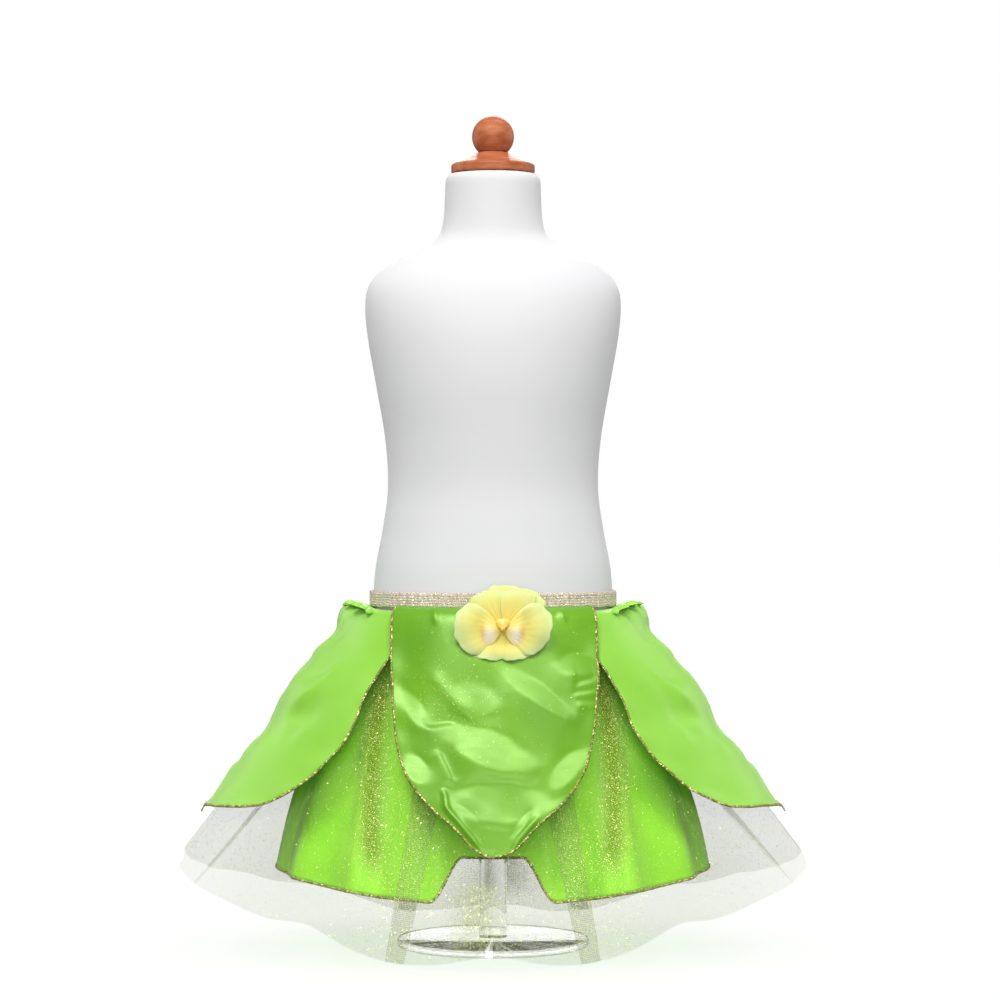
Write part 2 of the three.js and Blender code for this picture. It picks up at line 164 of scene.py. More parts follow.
class Layer:
    # A skirt layer with an oval plan. point(degrees, drop, out) is the side outline at 90 degrees, the
    # front outline at 0, and between them x = side sin, y = -front cos, z = side sin2 + front cos2.
    def __init__(self, side, front):
        self.side = smoothCurve(side)
        self.front = smoothCurve(front)

    def base(self, degrees, drop):
        degrees, drop = np.broadcast_arrays(degrees, drop)
        side, front = self.side(drop), self.front(drop)
        s, c = np.sin(np.radians(degrees)), np.cos(np.radians(degrees))
        return np.stack([side[..., 0] * s, -front[..., 0] * c,
                         side[..., 1] * s ** 2 + front[..., 1] * c ** 2], -1)

    def normal(self, degrees, drop):
        across = self.base(degrees + 0.4, drop) - self.base(degrees - 0.4, drop)
        down = self.base(degrees, np.minimum(drop + 0.01, 1)) - self.base(degrees, np.maximum(drop - 0.01, 0))
        n = -np.cross(across, down)
        return n / np.linalg.norm(n, axis=-1, keepdims=True)

    def point(self, degrees, drop, out):
        return self.base(degrees, drop) + self.normal(degrees, drop) * np.asarray(out)[..., None]

    def roundness(self, degrees, drop):  # millimetres for each radian round the layer
        side, front = self.side(drop)[..., 0], self.front(drop)[..., 0]
        return np.hypot(side * np.cos(np.radians(degrees)), front * np.sin(np.radians(degrees)))

    def angleAfter(self, start, length, drop, steps=16):  # walks round by a length of cloth
        degrees = np.full(np.broadcast(length, drop).shape, float(start))
        for step in range(steps):
            degrees = degrees + np.degrees(length / steps / self.roundness(degrees, drop))
        return degrees


def gridQuads(rows, columns, ring=False):
    r = np.arange(rows - 1)[:, None]
    c = np.arange(columns if ring else columns - 1)[None, :]
    following = (c + 1) % columns
    corners = [r * columns + c, (r + 1) * columns + c, (r + 1) * columns + following, r * columns + following]
    return np.stack([np.broadcast_to(k, np.broadcast(r, c).shape) for k in corners], -1).reshape(-1, 4)


def addMesh(name, points, faces, uv=None, values=None, materials=(), faceMaterial=None, smooth=True):
    # points in millimetres, faces as rows of indices; uv and values hold one entry for each point.
    mesh = bpy.data.meshes.new(name)
    mesh.vertices.add(len(points))
    mesh.vertices.foreach_set("co", (np.asarray(points, float) * 0.001).ravel())
    mesh.loops.add(faces.size)
    mesh.loops.foreach_set("vertex_index", faces.ravel().astype(np.int32))
    mesh.polygons.add(len(faces))
    mesh.polygons.foreach_set("loop_start", np.arange(0, faces.size, faces.shape[1], dtype=np.int32))
    mesh.polygons.foreach_set("use_smooth", np.full(len(faces), smooth))
    if faceMaterial is not None:
        mesh.polygons.foreach_set("material_index", faceMaterial.astype(np.int32))
    mesh.update(calc_edges=True)
    if uv is not None:
        layer = mesh.uv_layers.new(name="cloth")
        layer.data.foreach_set("uv", uv[faces.ravel()].astype(np.float32).ravel())
    for key, value in (values or {}).items():
        attribute = mesh.attributes.new(key, "FLOAT", "POINT")
        attribute.data.foreach_set("value", np.asarray(value, np.float32).ravel())
    for material in materials:
        mesh.materials.append(material)
    obj = bpy.data.objects.new(name, mesh)
    bpy.context.scene.collection.objects.link(obj)
    return obj


def weld(obj, distance=1e-6):
    # Joins doubled points, as at the poles of a turned shape, and turns the faces outwards.
    work = bmesh.new()
    work.from_mesh(obj.data)
    bmesh.ops.remove_doubles(work, verts=work.verts, dist=distance)
    bmesh.ops.recalc_face_normals(work, faces=work.faces)
    work.to_mesh(obj.data)
    work.free()
    return obj


def clothSheet(name, grid, uv, material, thick, values=None):
    # One layer of cloth over a grid of points, with a live Solidify for its thickness; a net has none.
    rows, columns = grid.shape[:2]
    flatValues = {key: np.broadcast_to(v, grid.shape[:2]).ravel() for key, v in (values or {}).items()}
    obj = addMesh(name, grid.reshape(-1, 3), gridQuads(rows, columns), uv.reshape(-1, 2),
                  flatValues, [material])
    if thick:
        shell = obj.modifiers.new("thickness", "SOLIDIFY")
        shell.thickness = thick * 0.001
        shell.offset = 0
    return obj


def tube(name, path, outward, widths, heights, material, spin, sides=8):
    # A cord along a path that lies on cloth: an oval of half width (across the edge) and half height
    # (along the cloth's outward direction) at each path point, with rounded ends. spin swells each ring.
    ahead = np.gradient(path, axis=0)
    ahead /= np.linalg.norm(ahead, axis=1, keepdims=True)
    outward = outward - ahead * np.sum(outward * ahead, axis=1, keepdims=True)
    outward /= np.linalg.norm(outward, axis=1, keepdims=True)
    across = np.cross(ahead, outward)
    turn = np.linspace(0, 2 * np.pi, sides, endpoint=False)[None, :]
    a = (widths[:, None] * spin(turn) * np.cos(turn))[..., None]
    b = (heights[:, None] * spin(turn) * np.sin(turn))[..., None]
    rings = path[:, None] + across[:, None] * a + outward[:, None] * b
    tips = [np.repeat(path[k][None, None], sides, 1) + ahead[k] * s * widths[k] for k, s in [(0, -0.6), (-1, 0.6)]]
    rings = np.concatenate([tips[0], rings, tips[1]])
    return weld(addMesh(name, rings.reshape(-1, 3), gridQuads(len(rings), sides, True), None, None, [material]))


def turned(name, profile, material, segments=96):
    # A profile of (radius, height) points turned round the z axis; it starts and ends on the axis.
    profile = np.array(profile, float)
    turn = np.linspace(0, 2 * np.pi, segments, endpoint=False)[None, :]
    r, z = profile[:, 0, None], profile[:, 1, None]
    grid = np.stack([r * np.sin(turn), -r * np.cos(turn), np.broadcast_to(z, (len(profile), segments))], -1)
    along = np.r_[0, np.cumsum(np.linalg.norm(np.diff(profile, axis=0), axis=1))]
    uv = np.stack(np.broadcast_arrays(turn * profile[:, 0].max(), along[:, None]), -1) * 0.01
    faces = gridQuads(len(profile), segments, True)
    return weld(addMesh(name, grid.reshape(-1, 3), faces, uv.reshape(-1, 2), None, [material]))


def roundedProfile(corners, radius, steps=6):
    # A polyline with each inner corner replaced by a short arc (a quadratic curve through the corner).
    p = np.array(corners, float)
    out = [p[0]]
    for before, corner, after in zip(p[:-2], p[1:-1], p[2:]):
        cut = min(radius, np.linalg.norm(before - corner) * 0.45, np.linalg.norm(after - corner) * 0.45)
        start = corner + (before - corner) / np.linalg.norm(before - corner) * cut
        end = corner + (after - corner) / np.linalg.norm(after - corner) * cut
        for t in np.linspace(0, 1, steps):
            out.append((1 - t) ** 2 * start + 2 * t * (1 - t) * corner + t ** 2 * end)
    out.append(p[-1])
    return np.array(out)


def flakes(name, centres, normals, radius, material, seed, tilt=0.3):
    # Glitter: one small four-sided flake at each point, leaning a little away from the cloth's normal.
    rng = np.random.default_rng(seed)
    n = normals + rng.normal(0, tilt, normals.shape)
    n /= np.linalg.norm(n, axis=1, keepdims=True)
    a = np.cross(n, rng.normal(size=n.shape))
    a /= np.linalg.norm(a, axis=1, keepdims=True)
    b = np.cross(n, a)
    size = radius * rng.uniform(0.6, 1.3, len(centres))
    corner = np.stack([a + 0.3 * b, b - 0.3 * a, -a - 0.3 * b, 0.3 * a - b], 1)
    points = centres[:, None] + corner * size[:, None, None]
    quads = np.arange(len(centres))[:, None] * 4 + np.arange(4)
    # A random value for each flake: its tone, and near 1 a painted glint.
    shade = np.repeat(rng.random(len(centres)), 4)
    return addMesh(name, points.reshape(-1, 3), quads, None, {"shade": shade}, [material], None, False)


def scatter(grid, count, seed, weight=None):
    # Random places on a grid of points, even over its area (times an optional weight): places and normals.
    rng = np.random.default_rng(seed)
    a, b = grid[1:, :-1] - grid[:-1, :-1], grid[:-1, 1:] - grid[:-1, :-1]
    normal = np.cross(a, b)
    area = np.linalg.norm(normal, axis=-1)
    chance = (area if weight is None else area * weight[:-1, :-1]).ravel()
    cell = rng.choice(chance.size, count, p=chance / chance.sum())
    u, v = rng.random((2, count, 1))
    start = grid[:-1, :-1].reshape(-1, 3)[cell]
    places = start + u * a.reshape(-1, 3)[cell] + v * b.reshape(-1, 3)[cell]
    return places, normal.reshape(-1, 3)[cell] / area.ravel()[cell][:, None]


def sheetOf(piece, grid):
    # States the cut of a sheet: longest row, longest column and area of its grid of points, in metres.
    wide = np.linalg.norm(np.diff(grid, axis=1), axis=-1).sum(1).max() * 1e-3
    long = np.linalg.norm(np.diff(grid, axis=0), axis=-1).sum(0).max() * 1e-3
    a, b = grid[1:, :-1] - grid[:-1, :-1], grid[:-1, 1:] - grid[:-1, :-1]
    area = np.linalg.norm(np.cross(a, b), axis=-1).sum() * 1e-6
    area = max(0.31 * wide * long, min(area, 0.99 * wide * long))  # no more than its oblong, nor a sliver
    print(piece.name, "cut", round(wide, 3), round(long, 3), "area", round(area, 4))


def newMaterial(name, baseColor, roughness, **sockets):
    material = bpy.data.materials.new(name)
    material.use_nodes = True
    shader = material.node_tree.nodes["Principled BSDF"]
    shader.inputs["Base Color"].default_value = (*baseColor, 1)
    shader.inputs["Roughness"].default_value = roughness
    for key, value in sockets.items():
        shader.inputs[key].default_value = value
    return material, shader


class Nodes:
    # Short calls that add and link nodes of one material.
    def __init__(self, material, shader):
        self.tree = material.node_tree
        self.shader = shader

    def add(self, kind, **settings):
        node = self.tree.nodes.new("ShaderNode" + kind)
        for key, value in settings.items():
            if key in node.bl_rna.properties:
                setattr(node, key, value)
            else:
                socket = node.inputs[key]
                if isinstance(value, bpy.types.NodeSocket):
                    self.tree.links.new(value, socket)
                else:
                    socket.default_value = value
        return node

    def join(self, output, socket):
        self.tree.links.new(output, socket)

    def math(self, operation, a, b=0.0, clamp=False):
        node = self.add("Math", operation=operation, use_clamp=clamp)
        for socket, value in zip(node.inputs, (a, b)):
            if isinstance(value, bpy.types.NodeSocket):
                self.join(value, socket)
            else:
                socket.default_value = value
        return node.outputs[0]

    def place(self, source="UV", scale=(1, 1, 1), turn=0.0):
        where = self.add("TexCoord").outputs[source]
        return self.add("Mapping", Vector=where, Scale=scale, Rotation=(0, 0, turn)).outputs[0]

    def noise(self, where, scale, detail=3.0, roughness=0.5):
        return self.add("TexNoise", Vector=where, Scale=scale, Detail=detail, Roughness=roughness).outputs[0]

    def ramp(self, value, *stops):
        node = self.add("ValToRGB", Fac=value)
        elements = node.color_ramp.elements
        while len(elements) < len(stops):
            elements.new(0.5)
        for element, (position, color) in zip(elements, stops):
            element.position = position
            element.color = (*color, 1) if len(color) == 3 else color
        return node.outputs[0]

    def band(self, value, low, high, toLow=0.0, toHigh=1.0):
        node = self.add("MapRange", Value=value)
        for key, number in zip(("From Min", "From Max", "To Min", "To Max"), (low, high, toLow, toHigh)):
            node.inputs[key].default_value = number
        return node.outputs[0]

    def blend(self, share, a, b):
        node = self.add("Mix", data_type="RGBA")
        for index, value in ((0, share), (6, a), (7, b)):
            if isinstance(value, bpy.types.NodeSocket):
                self.join(value, node.inputs[index])
            elif index == 0:
                node.inputs[index].default_value = value
            else:
                node.inputs[index].default_value = (*value, 1)
        return node.outputs[2]

    def color(self, output):
        self.join(output, self.shader.inputs["Base Color"])

    def rough(self, output):
        self.join(output, self.shader.inputs["Roughness"])

    def bumpFrom(self, height, strength, distance):
        node = self.add("Bump", Height=height, Strength=strength, Distance=distance)
        self.join(node.outputs[0], self.shader.inputs["Normal"])


def satinCloth(name, light, deep, sheen, index):
    # Glossy satin: long floats across fine threads, a soft colour change between folds.
    material, shader = newMaterial(name, light, 0.42, **{
        "Specular IOR Level": 1.0, "IOR": index, "Specular Tint": (0.68, 1.0, 0.42, 1), "Anisotropic": 0.3,
        "Sheen Weight": sheen, "Sheen Roughness": 0.45, "Sheen Tint": (0.72, 1.0, 0.50, 1)})
    nodes = Nodes(material, shader)
    patches = nodes.noise(nodes.place("Object"), 16.0, 2.0)
    nodes.color(nodes.blend(nodes.band(patches, 0.3, 0.7), deep, light))
    slubs = nodes.noise(nodes.place("UV", (3, 60, 1)), 1.0, 2.0)
    nodes.rough(nodes.band(slubs, 0.3, 0.7, 0.37, 0.45))
    threads = nodes.add("TexWave", Vector=nodes.place("UV"), Scale=110.0, bands_direction="Y")
    floats = nodes.add("TexWave", Vector=nodes.place("UV"), Scale=60.0, Distortion=1.5, bands_direction="X")
    height = nodes.math("ADD", nodes.math("MULTIPLY", threads.outputs[1], 0.5), nodes.math(
        "MULTIPLY", floats.outputs[1], 0.3))
    nodes.bumpFrom(height, 0.08, 0.0001)
    return material


def glitterTulle(name):
    # Fine hexagonal net, seen as a thin veil: its threads let some light through and its holes nearly
    # all. Where "fold" is high several layers lie together, so the veil is thicker, and its colour is
    # darkened to olive there as a painted shade of the fold.
    material, shader = newMaterial(name, (0.21, 0.25, 0.10), 0.6, **{"Specular IOR Level": 0.15})
    nodes = Nodes(material, shader)
    fold = nodes.add("Attribute", attribute_name="fold").outputs["Fac"]
    net = nodes.add("TexVoronoi", Vector=nodes.place("UV"), Scale=62.0, Randomness=0.3,
                    feature="DISTANCE_TO_EDGE")
    thread = nodes.band(net.outputs[0], 0.02, 0.11, 1.0, 0.0)
    patches = nodes.noise(nodes.place("Object"), 9.0, 3.0)
    holes = nodes.band(patches, 0.3, 0.7, 0.13, 0.17)
    veil = nodes.math("MAXIMUM", nodes.math("MULTIPLY", thread, 0.42), holes)
    nodes.join(nodes.math("ADD", veil, nodes.math("MULTIPLY", fold, 0.55), True), shader.inputs["Alpha"])
    ivory = nodes.blend(nodes.band(patches, 0.35, 0.65), (0.225, 0.265, 0.125), (0.19, 0.235, 0.095))
    # Painted shade: the colour darkens to olive where fold is high.
    nodes.color(nodes.blend(fold, ivory, (0.100, 0.135, 0.006)))
    nodes.bumpFrom(thread, 0.3, 0.0002)
    return material


def goldFlake(name, dark, bright):
    # Foil glitter: each flake has its own random tone from dark to bright gold, and the few nearly white ones are
    # painted glints.
    material, shader = newMaterial(name, bright, 0.3, Metallic=0.3)
    nodes = Nodes(material, shader)
    shade = nodes.add("Attribute", attribute_name="shade").outputs["Fac"]
    nodes.color(nodes.ramp(shade, (0.0, dark), (0.6, bright), (0.9, bright), (1.0, (1.0, 1.0, 0.66))))
    nodes.rough(nodes.band(nodes.noise(nodes.place("Object"), 900.0), 0.3, 0.7, 0.16, 0.34))
    return material


def goldThread(name):
    # Metallic overlock yarn: twisted strands with bright glints between olive shadows.
    material, shader = newMaterial(name, (0.36, 0.34, 0.10), 0.4, Metallic=0.2)
    nodes = Nodes(material, shader)
    cells = nodes.add("TexVoronoi", Vector=nodes.place("Object"), Scale=800.0)
    glints = nodes.add("SeparateColor", Color=cells.outputs["Color"]).outputs[0]
    nodes.color(nodes.ramp(glints, (0.0, (0.06, 0.12, 0.006)), (0.4, (0.15, 0.20, 0.014)),
                           (0.75, (0.34, 0.33, 0.045)), (1.0, (1.0, 0.92, 0.42))))
    nodes.rough(nodes.band(glints, 0.2, 0.9, 0.5, 0.2))
    nodes.bumpFrom(cells.outputs["Distance"], 0.5, 0.0003)
    return material


def elasticWeave(name):
    # Waistband elastic: lengthwise ribs, a close weave, and pink-gold metallic flecks.
    material, shader = newMaterial(name, (0.60, 0.53, 0.40), 0.5, **{"Sheen Weight": 0.2})
    nodes = Nodes(material, shader)
    where = nodes.place("UV")
    cells = nodes.add("TexVoronoi", Vector=where, Scale=130.0)
    tone = nodes.add("SeparateColor", Color=cells.outputs["Color"]).outputs[0]
    nodes.color(nodes.ramp(tone, (0.0, (0.38, 0.31, 0.22)), (0.35, (0.54, 0.46, 0.36)),
                           (0.7, (0.66, 0.55, 0.48)), (0.93, (0.92, 0.84, 0.72))))
    nodes.join(nodes.band(tone, 0.80, 0.86, 0.0, 0.8), shader.inputs["Metallic"])
    nodes.rough(nodes.band(tone, 0.5, 0.9, 0.58, 0.25))
    weave = nodes.add("TexWave", Vector=where, Scale=90.0, bands_direction="X", Distortion=0.6)
    nodes.bumpFrom(nodes.math("ADD", weave.outputs[1], cells.outputs["Distance"]), 0.5, 0.0002)
    return material


def petalCloth(name):
    # Dyed flower cloth: pale green at the rim, yellow inside, orange towards the throat, with fine veins.
    material, shader = newMaterial(name, (0.72, 0.76, 0.30), 0.55, **{
        "Sheen Weight": 0.35, "Sheen Roughness": 0.4, "Specular IOR Level": 0.35,
        "Subsurface Weight": 0.08, "Subsurface Radius": (0.004, 0.004, 0.0015), "Subsurface Scale": 0.6})
    nodes = Nodes(material, shader)
    tint = nodes.add("Attribute", attribute_name="tint").outputs["Fac"]
    orangeAndShade = nodes.add("Attribute", attribute_name="orangeAndShade").outputs["Fac"]
    paintedHighlight = nodes.add("Attribute", attribute_name="paintedHighlight").outputs["Fac"]
    veins = nodes.noise(nodes.place("UV", (38, 2.2, 1)), 1.0, 3.0)
    soft = nodes.noise(nodes.place("Object"), 130.0, 2.0)
    shifted = nodes.math("ADD", tint, nodes.math("MULTIPLY", nodes.math("SUBTRACT", soft, 0.5), 0.22))
    dyed = nodes.ramp(shifted, (0.0, (0.62, 0.74, 0.31)), (0.12, (0.64, 0.68, 0.23)), (0.4, (0.70, 0.64, 0.145)),
                      (0.75, (0.78, 0.62, 0.11)), (1.0, (0.85, 0.56, 0.05)))
    # Orange: the flower's orange marks, and in the side petals' valleys a painted shade.
    warm = nodes.blend(nodes.math("MULTIPLY", orangeAndShade, 0.9, True), dyed, (0.60, 0.23, 0.02))
    # Painted highlight: the colour turns near white on the side petals' ridges and the hood's crest.
    light = nodes.blend(nodes.math("MULTIPLY", paintedHighlight, 0.85, True), warm, (0.95, 0.85, 0.78))
    nodes.color(nodes.blend(nodes.band(veins, 0.35, 0.62, 0.10, 0.0), light, (0.68, 0.66, 0.42)))
    nodes.rough(nodes.band(soft, 0.3, 0.7, 0.48, 0.64))
    fibres = nodes.noise(nodes.place("Object"), 1600.0, 2.0)
    nodes.bumpFrom(nodes.math("ADD", nodes.math("MULTIPLY", veins, 1.2), fibres), 0.35, 0.00025)
    return material


def jerseyCloth(name):
    # Smooth white jersey: fine knit wales in the bump and a faint unevenness in the colour.
    material, shader = newMaterial(name, (0.60, 0.60, 0.605), 0.78, **{
        "Sheen Weight": 0.25, "Sheen Roughness": 0.6, "Specular IOR Level": 0.3})
    nodes = Nodes(material, shader)
    where = nodes.place("UV")
    patches = nodes.noise(nodes.place("Object"), 7.0, 4.0)
    nodes.color(nodes.blend(nodes.band(patches, 0.3, 0.7), (0.590, 0.590, 0.600), (0.610, 0.610, 0.615)))
    wales = nodes.add("TexWave", Vector=where, Scale=38.0, bands_direction="X")
    loops = nodes.add("TexWave", Vector=where, Scale=30.0, bands_direction="Y", Distortion=1.0)
    knit = nodes.math("MULTIPLY", wales.outputs[1], nodes.band(loops.outputs[1], 0, 1, 0.5, 1.0))
    nodes.bumpFrom(nodes.math("ADD", knit, nodes.noise(where, 60.0)), 0.22, 0.0002)
    nodes.rough(nodes.band(patches, 0.3, 0.7, 0.74, 0.84))
    return material


def beechWood(name):
    # Varnished reddish beech: grain stretched along x, small darker pores and a thin clear coat.
    material, shader = newMaterial(name, (0.36, 0.13, 0.06), 0.4, **{
        "Coat Weight": 0.02, "Coat Roughness": 0.3, "Specular IOR Level": 0.12})
    nodes = Nodes(material, shader)
    grain = nodes.noise(nodes.place("Object", (16, 70, 90)), 2.2, 5.0, 0.55)
    pores = nodes.noise(nodes.place("Object", (80, 700, 900)), 1.0, 2.0)
    tone = nodes.ramp(grain, (0.25, (0.29, 0.074, 0.028)), (0.5, (0.40, 0.120, 0.050)),
                      (0.75, (0.53, 0.185, 0.082)))
    nodes.color(nodes.blend(nodes.band(pores, 0.58, 0.7, 0.0, 0.35), tone, (0.22, 0.07, 0.03)))
    nodes.rough(nodes.band(grain, 0.3, 0.7, 0.34, 0.48))
    nodes.bumpFrom(nodes.math("SUBTRACT", grain, nodes.math("MULTIPLY", pores, 0.5)), 0.15, 0.0003)
    return material


def clearAcrylic(name):
    # Cast acrylic: clear, with a faint cool tint and fine hairline scratches in the gloss.
    material, shader = newMaterial(name, (0.97, 0.99, 0.985), 0.03, **{
        "Transmission Weight": 1.0, "IOR": 1.2, "Specular IOR Level": 0.5})
    nodes = Nodes(material, shader)
    clouds = nodes.noise(nodes.place("Object"), 25.0, 2.0)
    nodes.color(nodes.blend(nodes.band(clouds, 0.3, 0.7), (0.96, 0.985, 0.98), (0.985, 0.995, 0.99)))
    scratches = nodes.noise(nodes.place("Object", (40, 900, 40)), 1.0, 2.0)
    nodes.rough(nodes.band(scratches, 0.55, 0.75, 0.02, 0.10))
    nodes.bumpFrom(scratches, 0.03, 0.0001)
    return material


finish = {
    "satin": satinCloth("petal_satin", (0.128, 0.340, 0.002), (0.088, 0.270, 0.001), 0.03, 1.58),
    # The side petals' and gathers' satin is the petal satin drawn lighter: its extra lightness is painted sheen.
    "sideSatinPaintedSheen": satinCloth("side_petal_satin_painted_sheen", (0.248, 0.560, 0.055), (0.212, 0.505, 0.036), 0.35, 1.5),
    # The underskirt's satin is drawn much lighter than the petals': painted light that makes up for the shade cast by
    # the petals and tulle above it.
    "underSatin": satinCloth("underskirt_satin_painted_light", (0.370, 0.900, 0.045), (0.250, 0.740, 0.012), 0.12, 1.34),
    "tulle": glitterTulle("glitter_tulle"),
    "flake": goldFlake("gold_flake", (0.30, 0.36, 0.03), (0.80, 0.82, 0.26)),
    "bandFlake": goldFlake("pink_gold_flake", (0.50, 0.34, 0.22), (0.92, 0.74, 0.58)),
    "thread": goldThread("gold_overlock_thread"),
    "elastic": elasticWeave("glitter_elastic"),
    "flower": petalCloth("flower_cloth"),
    "jersey": jerseyCloth("white_jersey"),
    "wood": beechWood("beech_wood"),
    "stand": clearAcrylic("clear_acrylic"),
}
print("materials made:", len(finish))


def keep(piece, slot, *nodes):
    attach(piece, "root")
    if nodes:
        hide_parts(*nodes)
    return piece


# The camera looks level along +Y, and the lamps stand high so that only leaning cloth shines.
view = {"field": 900.0, "distance": 2700.0, "height": 400.0, "sideways": 6.3}  # millimetres

camera = bpy.data.objects.new("camera", bpy.data.cameras.new("camera"))
camera.data.sensor_width = 36
camera.data.lens = 36 * view["distance"] / view["field"]
camera.data.clip_end = 50
camera.location = (view["sideways"] * 0.001, -view["distance"] * 0.001, view["height"] * 0.001)
camera.rotation_euler = (math.pi / 2, 0, 0)
bpy.context.scene.collection.objects.link(camera)
bpy.context.scene.camera = camera
bpy.context.scene.view_settings.view_transform = "Standard"

lamps = [
    {"name": "key", "place": (-1.0, -2.8, 4.3), "size": 1.5, "power": 166},
    {"name": "fill", "place": (1.4, -2.9, 4.1), "size": 1.5, "power": 102},
    {"name": "front", "place": (0.1, -4.5, 0.3), "size": 2.4, "power": 96},
    {"name": "back", "place": (0.2, 4.2, 2.8), "size": 2.2, "power": 90},
    {"name": "rimLeft", "place": (-2.0, 0.9, 1.0), "size": 1.2, "power": 9},
    {"name": "rimRight", "place": (2.0, 0.9, 1.0), "size": 1.2, "power": 9},
]
unlit = bpy.data.collections.new("unlitByLamps")  # the floor keeps its own even white
for lamp in lamps:
    light = bpy.data.lights.new(lamp["name"], "AREA")
    light.energy = lamp["power"]
    light.size = lamp["size"]
    holder = bpy.data.objects.new(lamp["name"], light)
    holder.location = lamp["place"]
    aim = np.array([0, 0, 0.2]) - np.array(lamp["place"])
    holder.rotation_euler = (math.acos(-aim[2] / np.linalg.norm(aim)), 0, math.atan2(aim[0], -aim[1]) + math.pi)
    holder.light_linking.receiver_collection = unlit
    bpy.context.scene.collection.objects.link(holder)

# The room is plain white to look at; as light it is brighter from above than from below.
sky = bpy.data.worlds.new("white_studio")
sky.use_nodes = True
skyTree = sky.node_tree
direction = skyTree.nodes.new("ShaderNodeTexCoord")
parts = skyTree.nodes.new("ShaderNodeSeparateXYZ")
softness = skyTree.nodes.new("ShaderNodeMapRange")
look = skyTree.nodes.new("ShaderNodeLightPath")
strength = skyTree.nodes.new("ShaderNodeMix")
for socket, value in zip(("From Min", "From Max", "To Min", "To Max"), (-0.5, 0.9, 0.30, 0.40)):
    softness.inputs[socket].default_value = value
skyTree.links.new(direction.outputs["Generated"], parts.inputs[0])
skyTree.links.new(parts.outputs["Z"], softness.inputs["Value"])
skyTree.links.new(look.outputs["Is Camera Ray"], strength.inputs[0])
skyTree.links.new(softness.outputs[0], strength.inputs[2])
strength.inputs[3].default_value = 1.0
skyTree.links.new(strength.outputs[0], skyTree.nodes["Background"].inputs["Strength"])
skyTree.nodes["Background"].inputs["Color"].default_value = (1, 1, 1, 1)
bpy.context.scene.world = sky

floorMaterial, floorShader = newMaterial("studio_floor", (0.85, 0.85, 0.85), 0.9, **{
    "Emission Color": (1, 1, 1, 1), "Emission Strength": 0.72})
floorNodes = Nodes(floorMaterial, floorShader)
floorNodes.rough(floorNodes.band(floorNodes.noise(floorNodes.place("Object"), 3.0), 0, 1, 0.85, 0.95))
reach = 9000.0
floorPoints = np.array([[-reach, -reach, 0], [reach, -reach, 0], [reach, reach, 0], [-reach, reach, 0]])
floor = addMesh("floor", floorPoints, np.array([[0, 1, 2, 3]]), None, None, [floorMaterial])
floor.visible_diffuse = False
floor.visible_glossy = False
unlit.objects.link(floor)
unlit.collection_objects[0].light_linking.link_state = "EXCLUDE"
print("camera, lamps and floor ready")


# Outlines of the two skirt layers, (distance from the axis, height), at the side and at the front.
tulleForm = Layer(
    side=[[109.5, 296.8], [114, 297.2], [119.5, 296.6], [126, 290.8], [151, 254.8], [212.5, 168.5], [282, 76]],
    front=[[82.5, 296.8], [86, 296.8], [90, 294.5], [96, 286], [112, 232], [142, 120], [171, 6]])
satinForm = Layer(
    side=[[108.5, 294.4], [114, 292], [122, 280], [149, 220], [182, 126], [195, 72]],
    front=[[81.5, 294.4], [85, 292], [89.5, 280], [103, 220], [121, 140], [138, 54]])


# The tulle overskirt: angles in degrees, the rest in millimetres.
tulle = {
    "levels": (1.4, 1.1),  # step between the layers of a pleat, at the waist and at the hem
    "frontPleat": {"edge": (20, 18.5), "overlap": (10, 2.8)},  # degrees, waist and hem
    "sidePleat": {"edge": (41, 68), "overlap": (8, 0.9)},
    "foldRadius": 2.4,
    "troughs": [(0, 6, 5), (38, 7, 7), (142, 7, 7), (180, 6, 5)],  # angle, half width, depth at the hem
    "hemWaves": [(0, 7, 9), (17, 8, -4), (35, 7, 10), (68, 10, -4),
                 (112, 10, -4), (145, 7, 10), (163, 8, -4), (180, 7, 9)],
    "flutes": 2.2,  # soft waves of the hem between the pleats
    "rows": 76,
    "glitter": 34000,  # flakes on each panel
}


def tulleColumns():
    # Each column of cloth as weights of (1, front edge, front overlap, side edge, side overlap, fold
    # step) that give its angle, and its level from 2 (outermost) to 0. The cloth runs forward to a
    # pleat's edge, round a half circle, back, round another half circle, and forward again.
    around = np.linspace(0, 1, 9)[1:-1]
    sweep, half = np.sin(np.pi * around), 0.5 * np.cos(np.pi * around)
    columns = []

    def line(start, end, level, count):
        t = np.linspace(0, 1, count)[:, None]
        weights = (1 - t) * np.array(start, float) + t * np.array(end, float)
        columns.append(np.column_stack([weights, np.full(count, float(level))]))

    def fold(at, side, levels):
        weights = np.tile(np.array(at, float), (len(around), 1))
        weights[:, 5] += side * sweep
        columns.append(np.column_stack([weights, np.mean(levels) + (levels[0] - levels[1]) * half]))

    centre, seam = [0, 0, 0, 0, 0, 0], [89.9, 0, 0, 0, 0, 0]
    front, frontBack = [0, 1, 0, 0, 0, 0], [0, 1, -1, 0, 0, 0]
    side, sideBack = [0, 0, 0, 1, 0, 0], [0, 0, 0, 1, 1, 0]
    line(centre, front, 2, 26)
    fold(front, 1, (2, 1))
    line(front, frontBack, 1, 7)
    fold(frontBack, -1, (1, 0))
    line(frontBack, sideBack, 0, 52)
    fold(sideBack, 1, (0, 1))
    line(sideBack, side, 1, 7)
    fold(side, -1, (1, 2))
    line(side, seam, 2, 32)
    right = np.concatenate(columns)
    left = right[1:][::-1].copy()
    left[:, :6] *= -1
    return np.concatenate([left, right])


def tulleOut(degrees, level, drop):
    height = mix(tulle["levels"], np.minimum(1, drop / 0.25))
    out = level * height
    for at, wide, deep in tulle["troughs"]:
        out = out - deep * drop * bump(turnBetween(np.abs(turnBetween(degrees, 0)), at) / wide)
    flute = np.sin(np.radians(degrees) * 23 + 0.7) + 0.6 * np.sin(np.radians(degrees) * 37 + 2.1)
    gathers = np.sin(np.radians(degrees) * 96) * bump(drop / 0.10)
    return out + tulle["flutes"] * drop ** 2 * flute * 0.6 + 0.5 * gathers


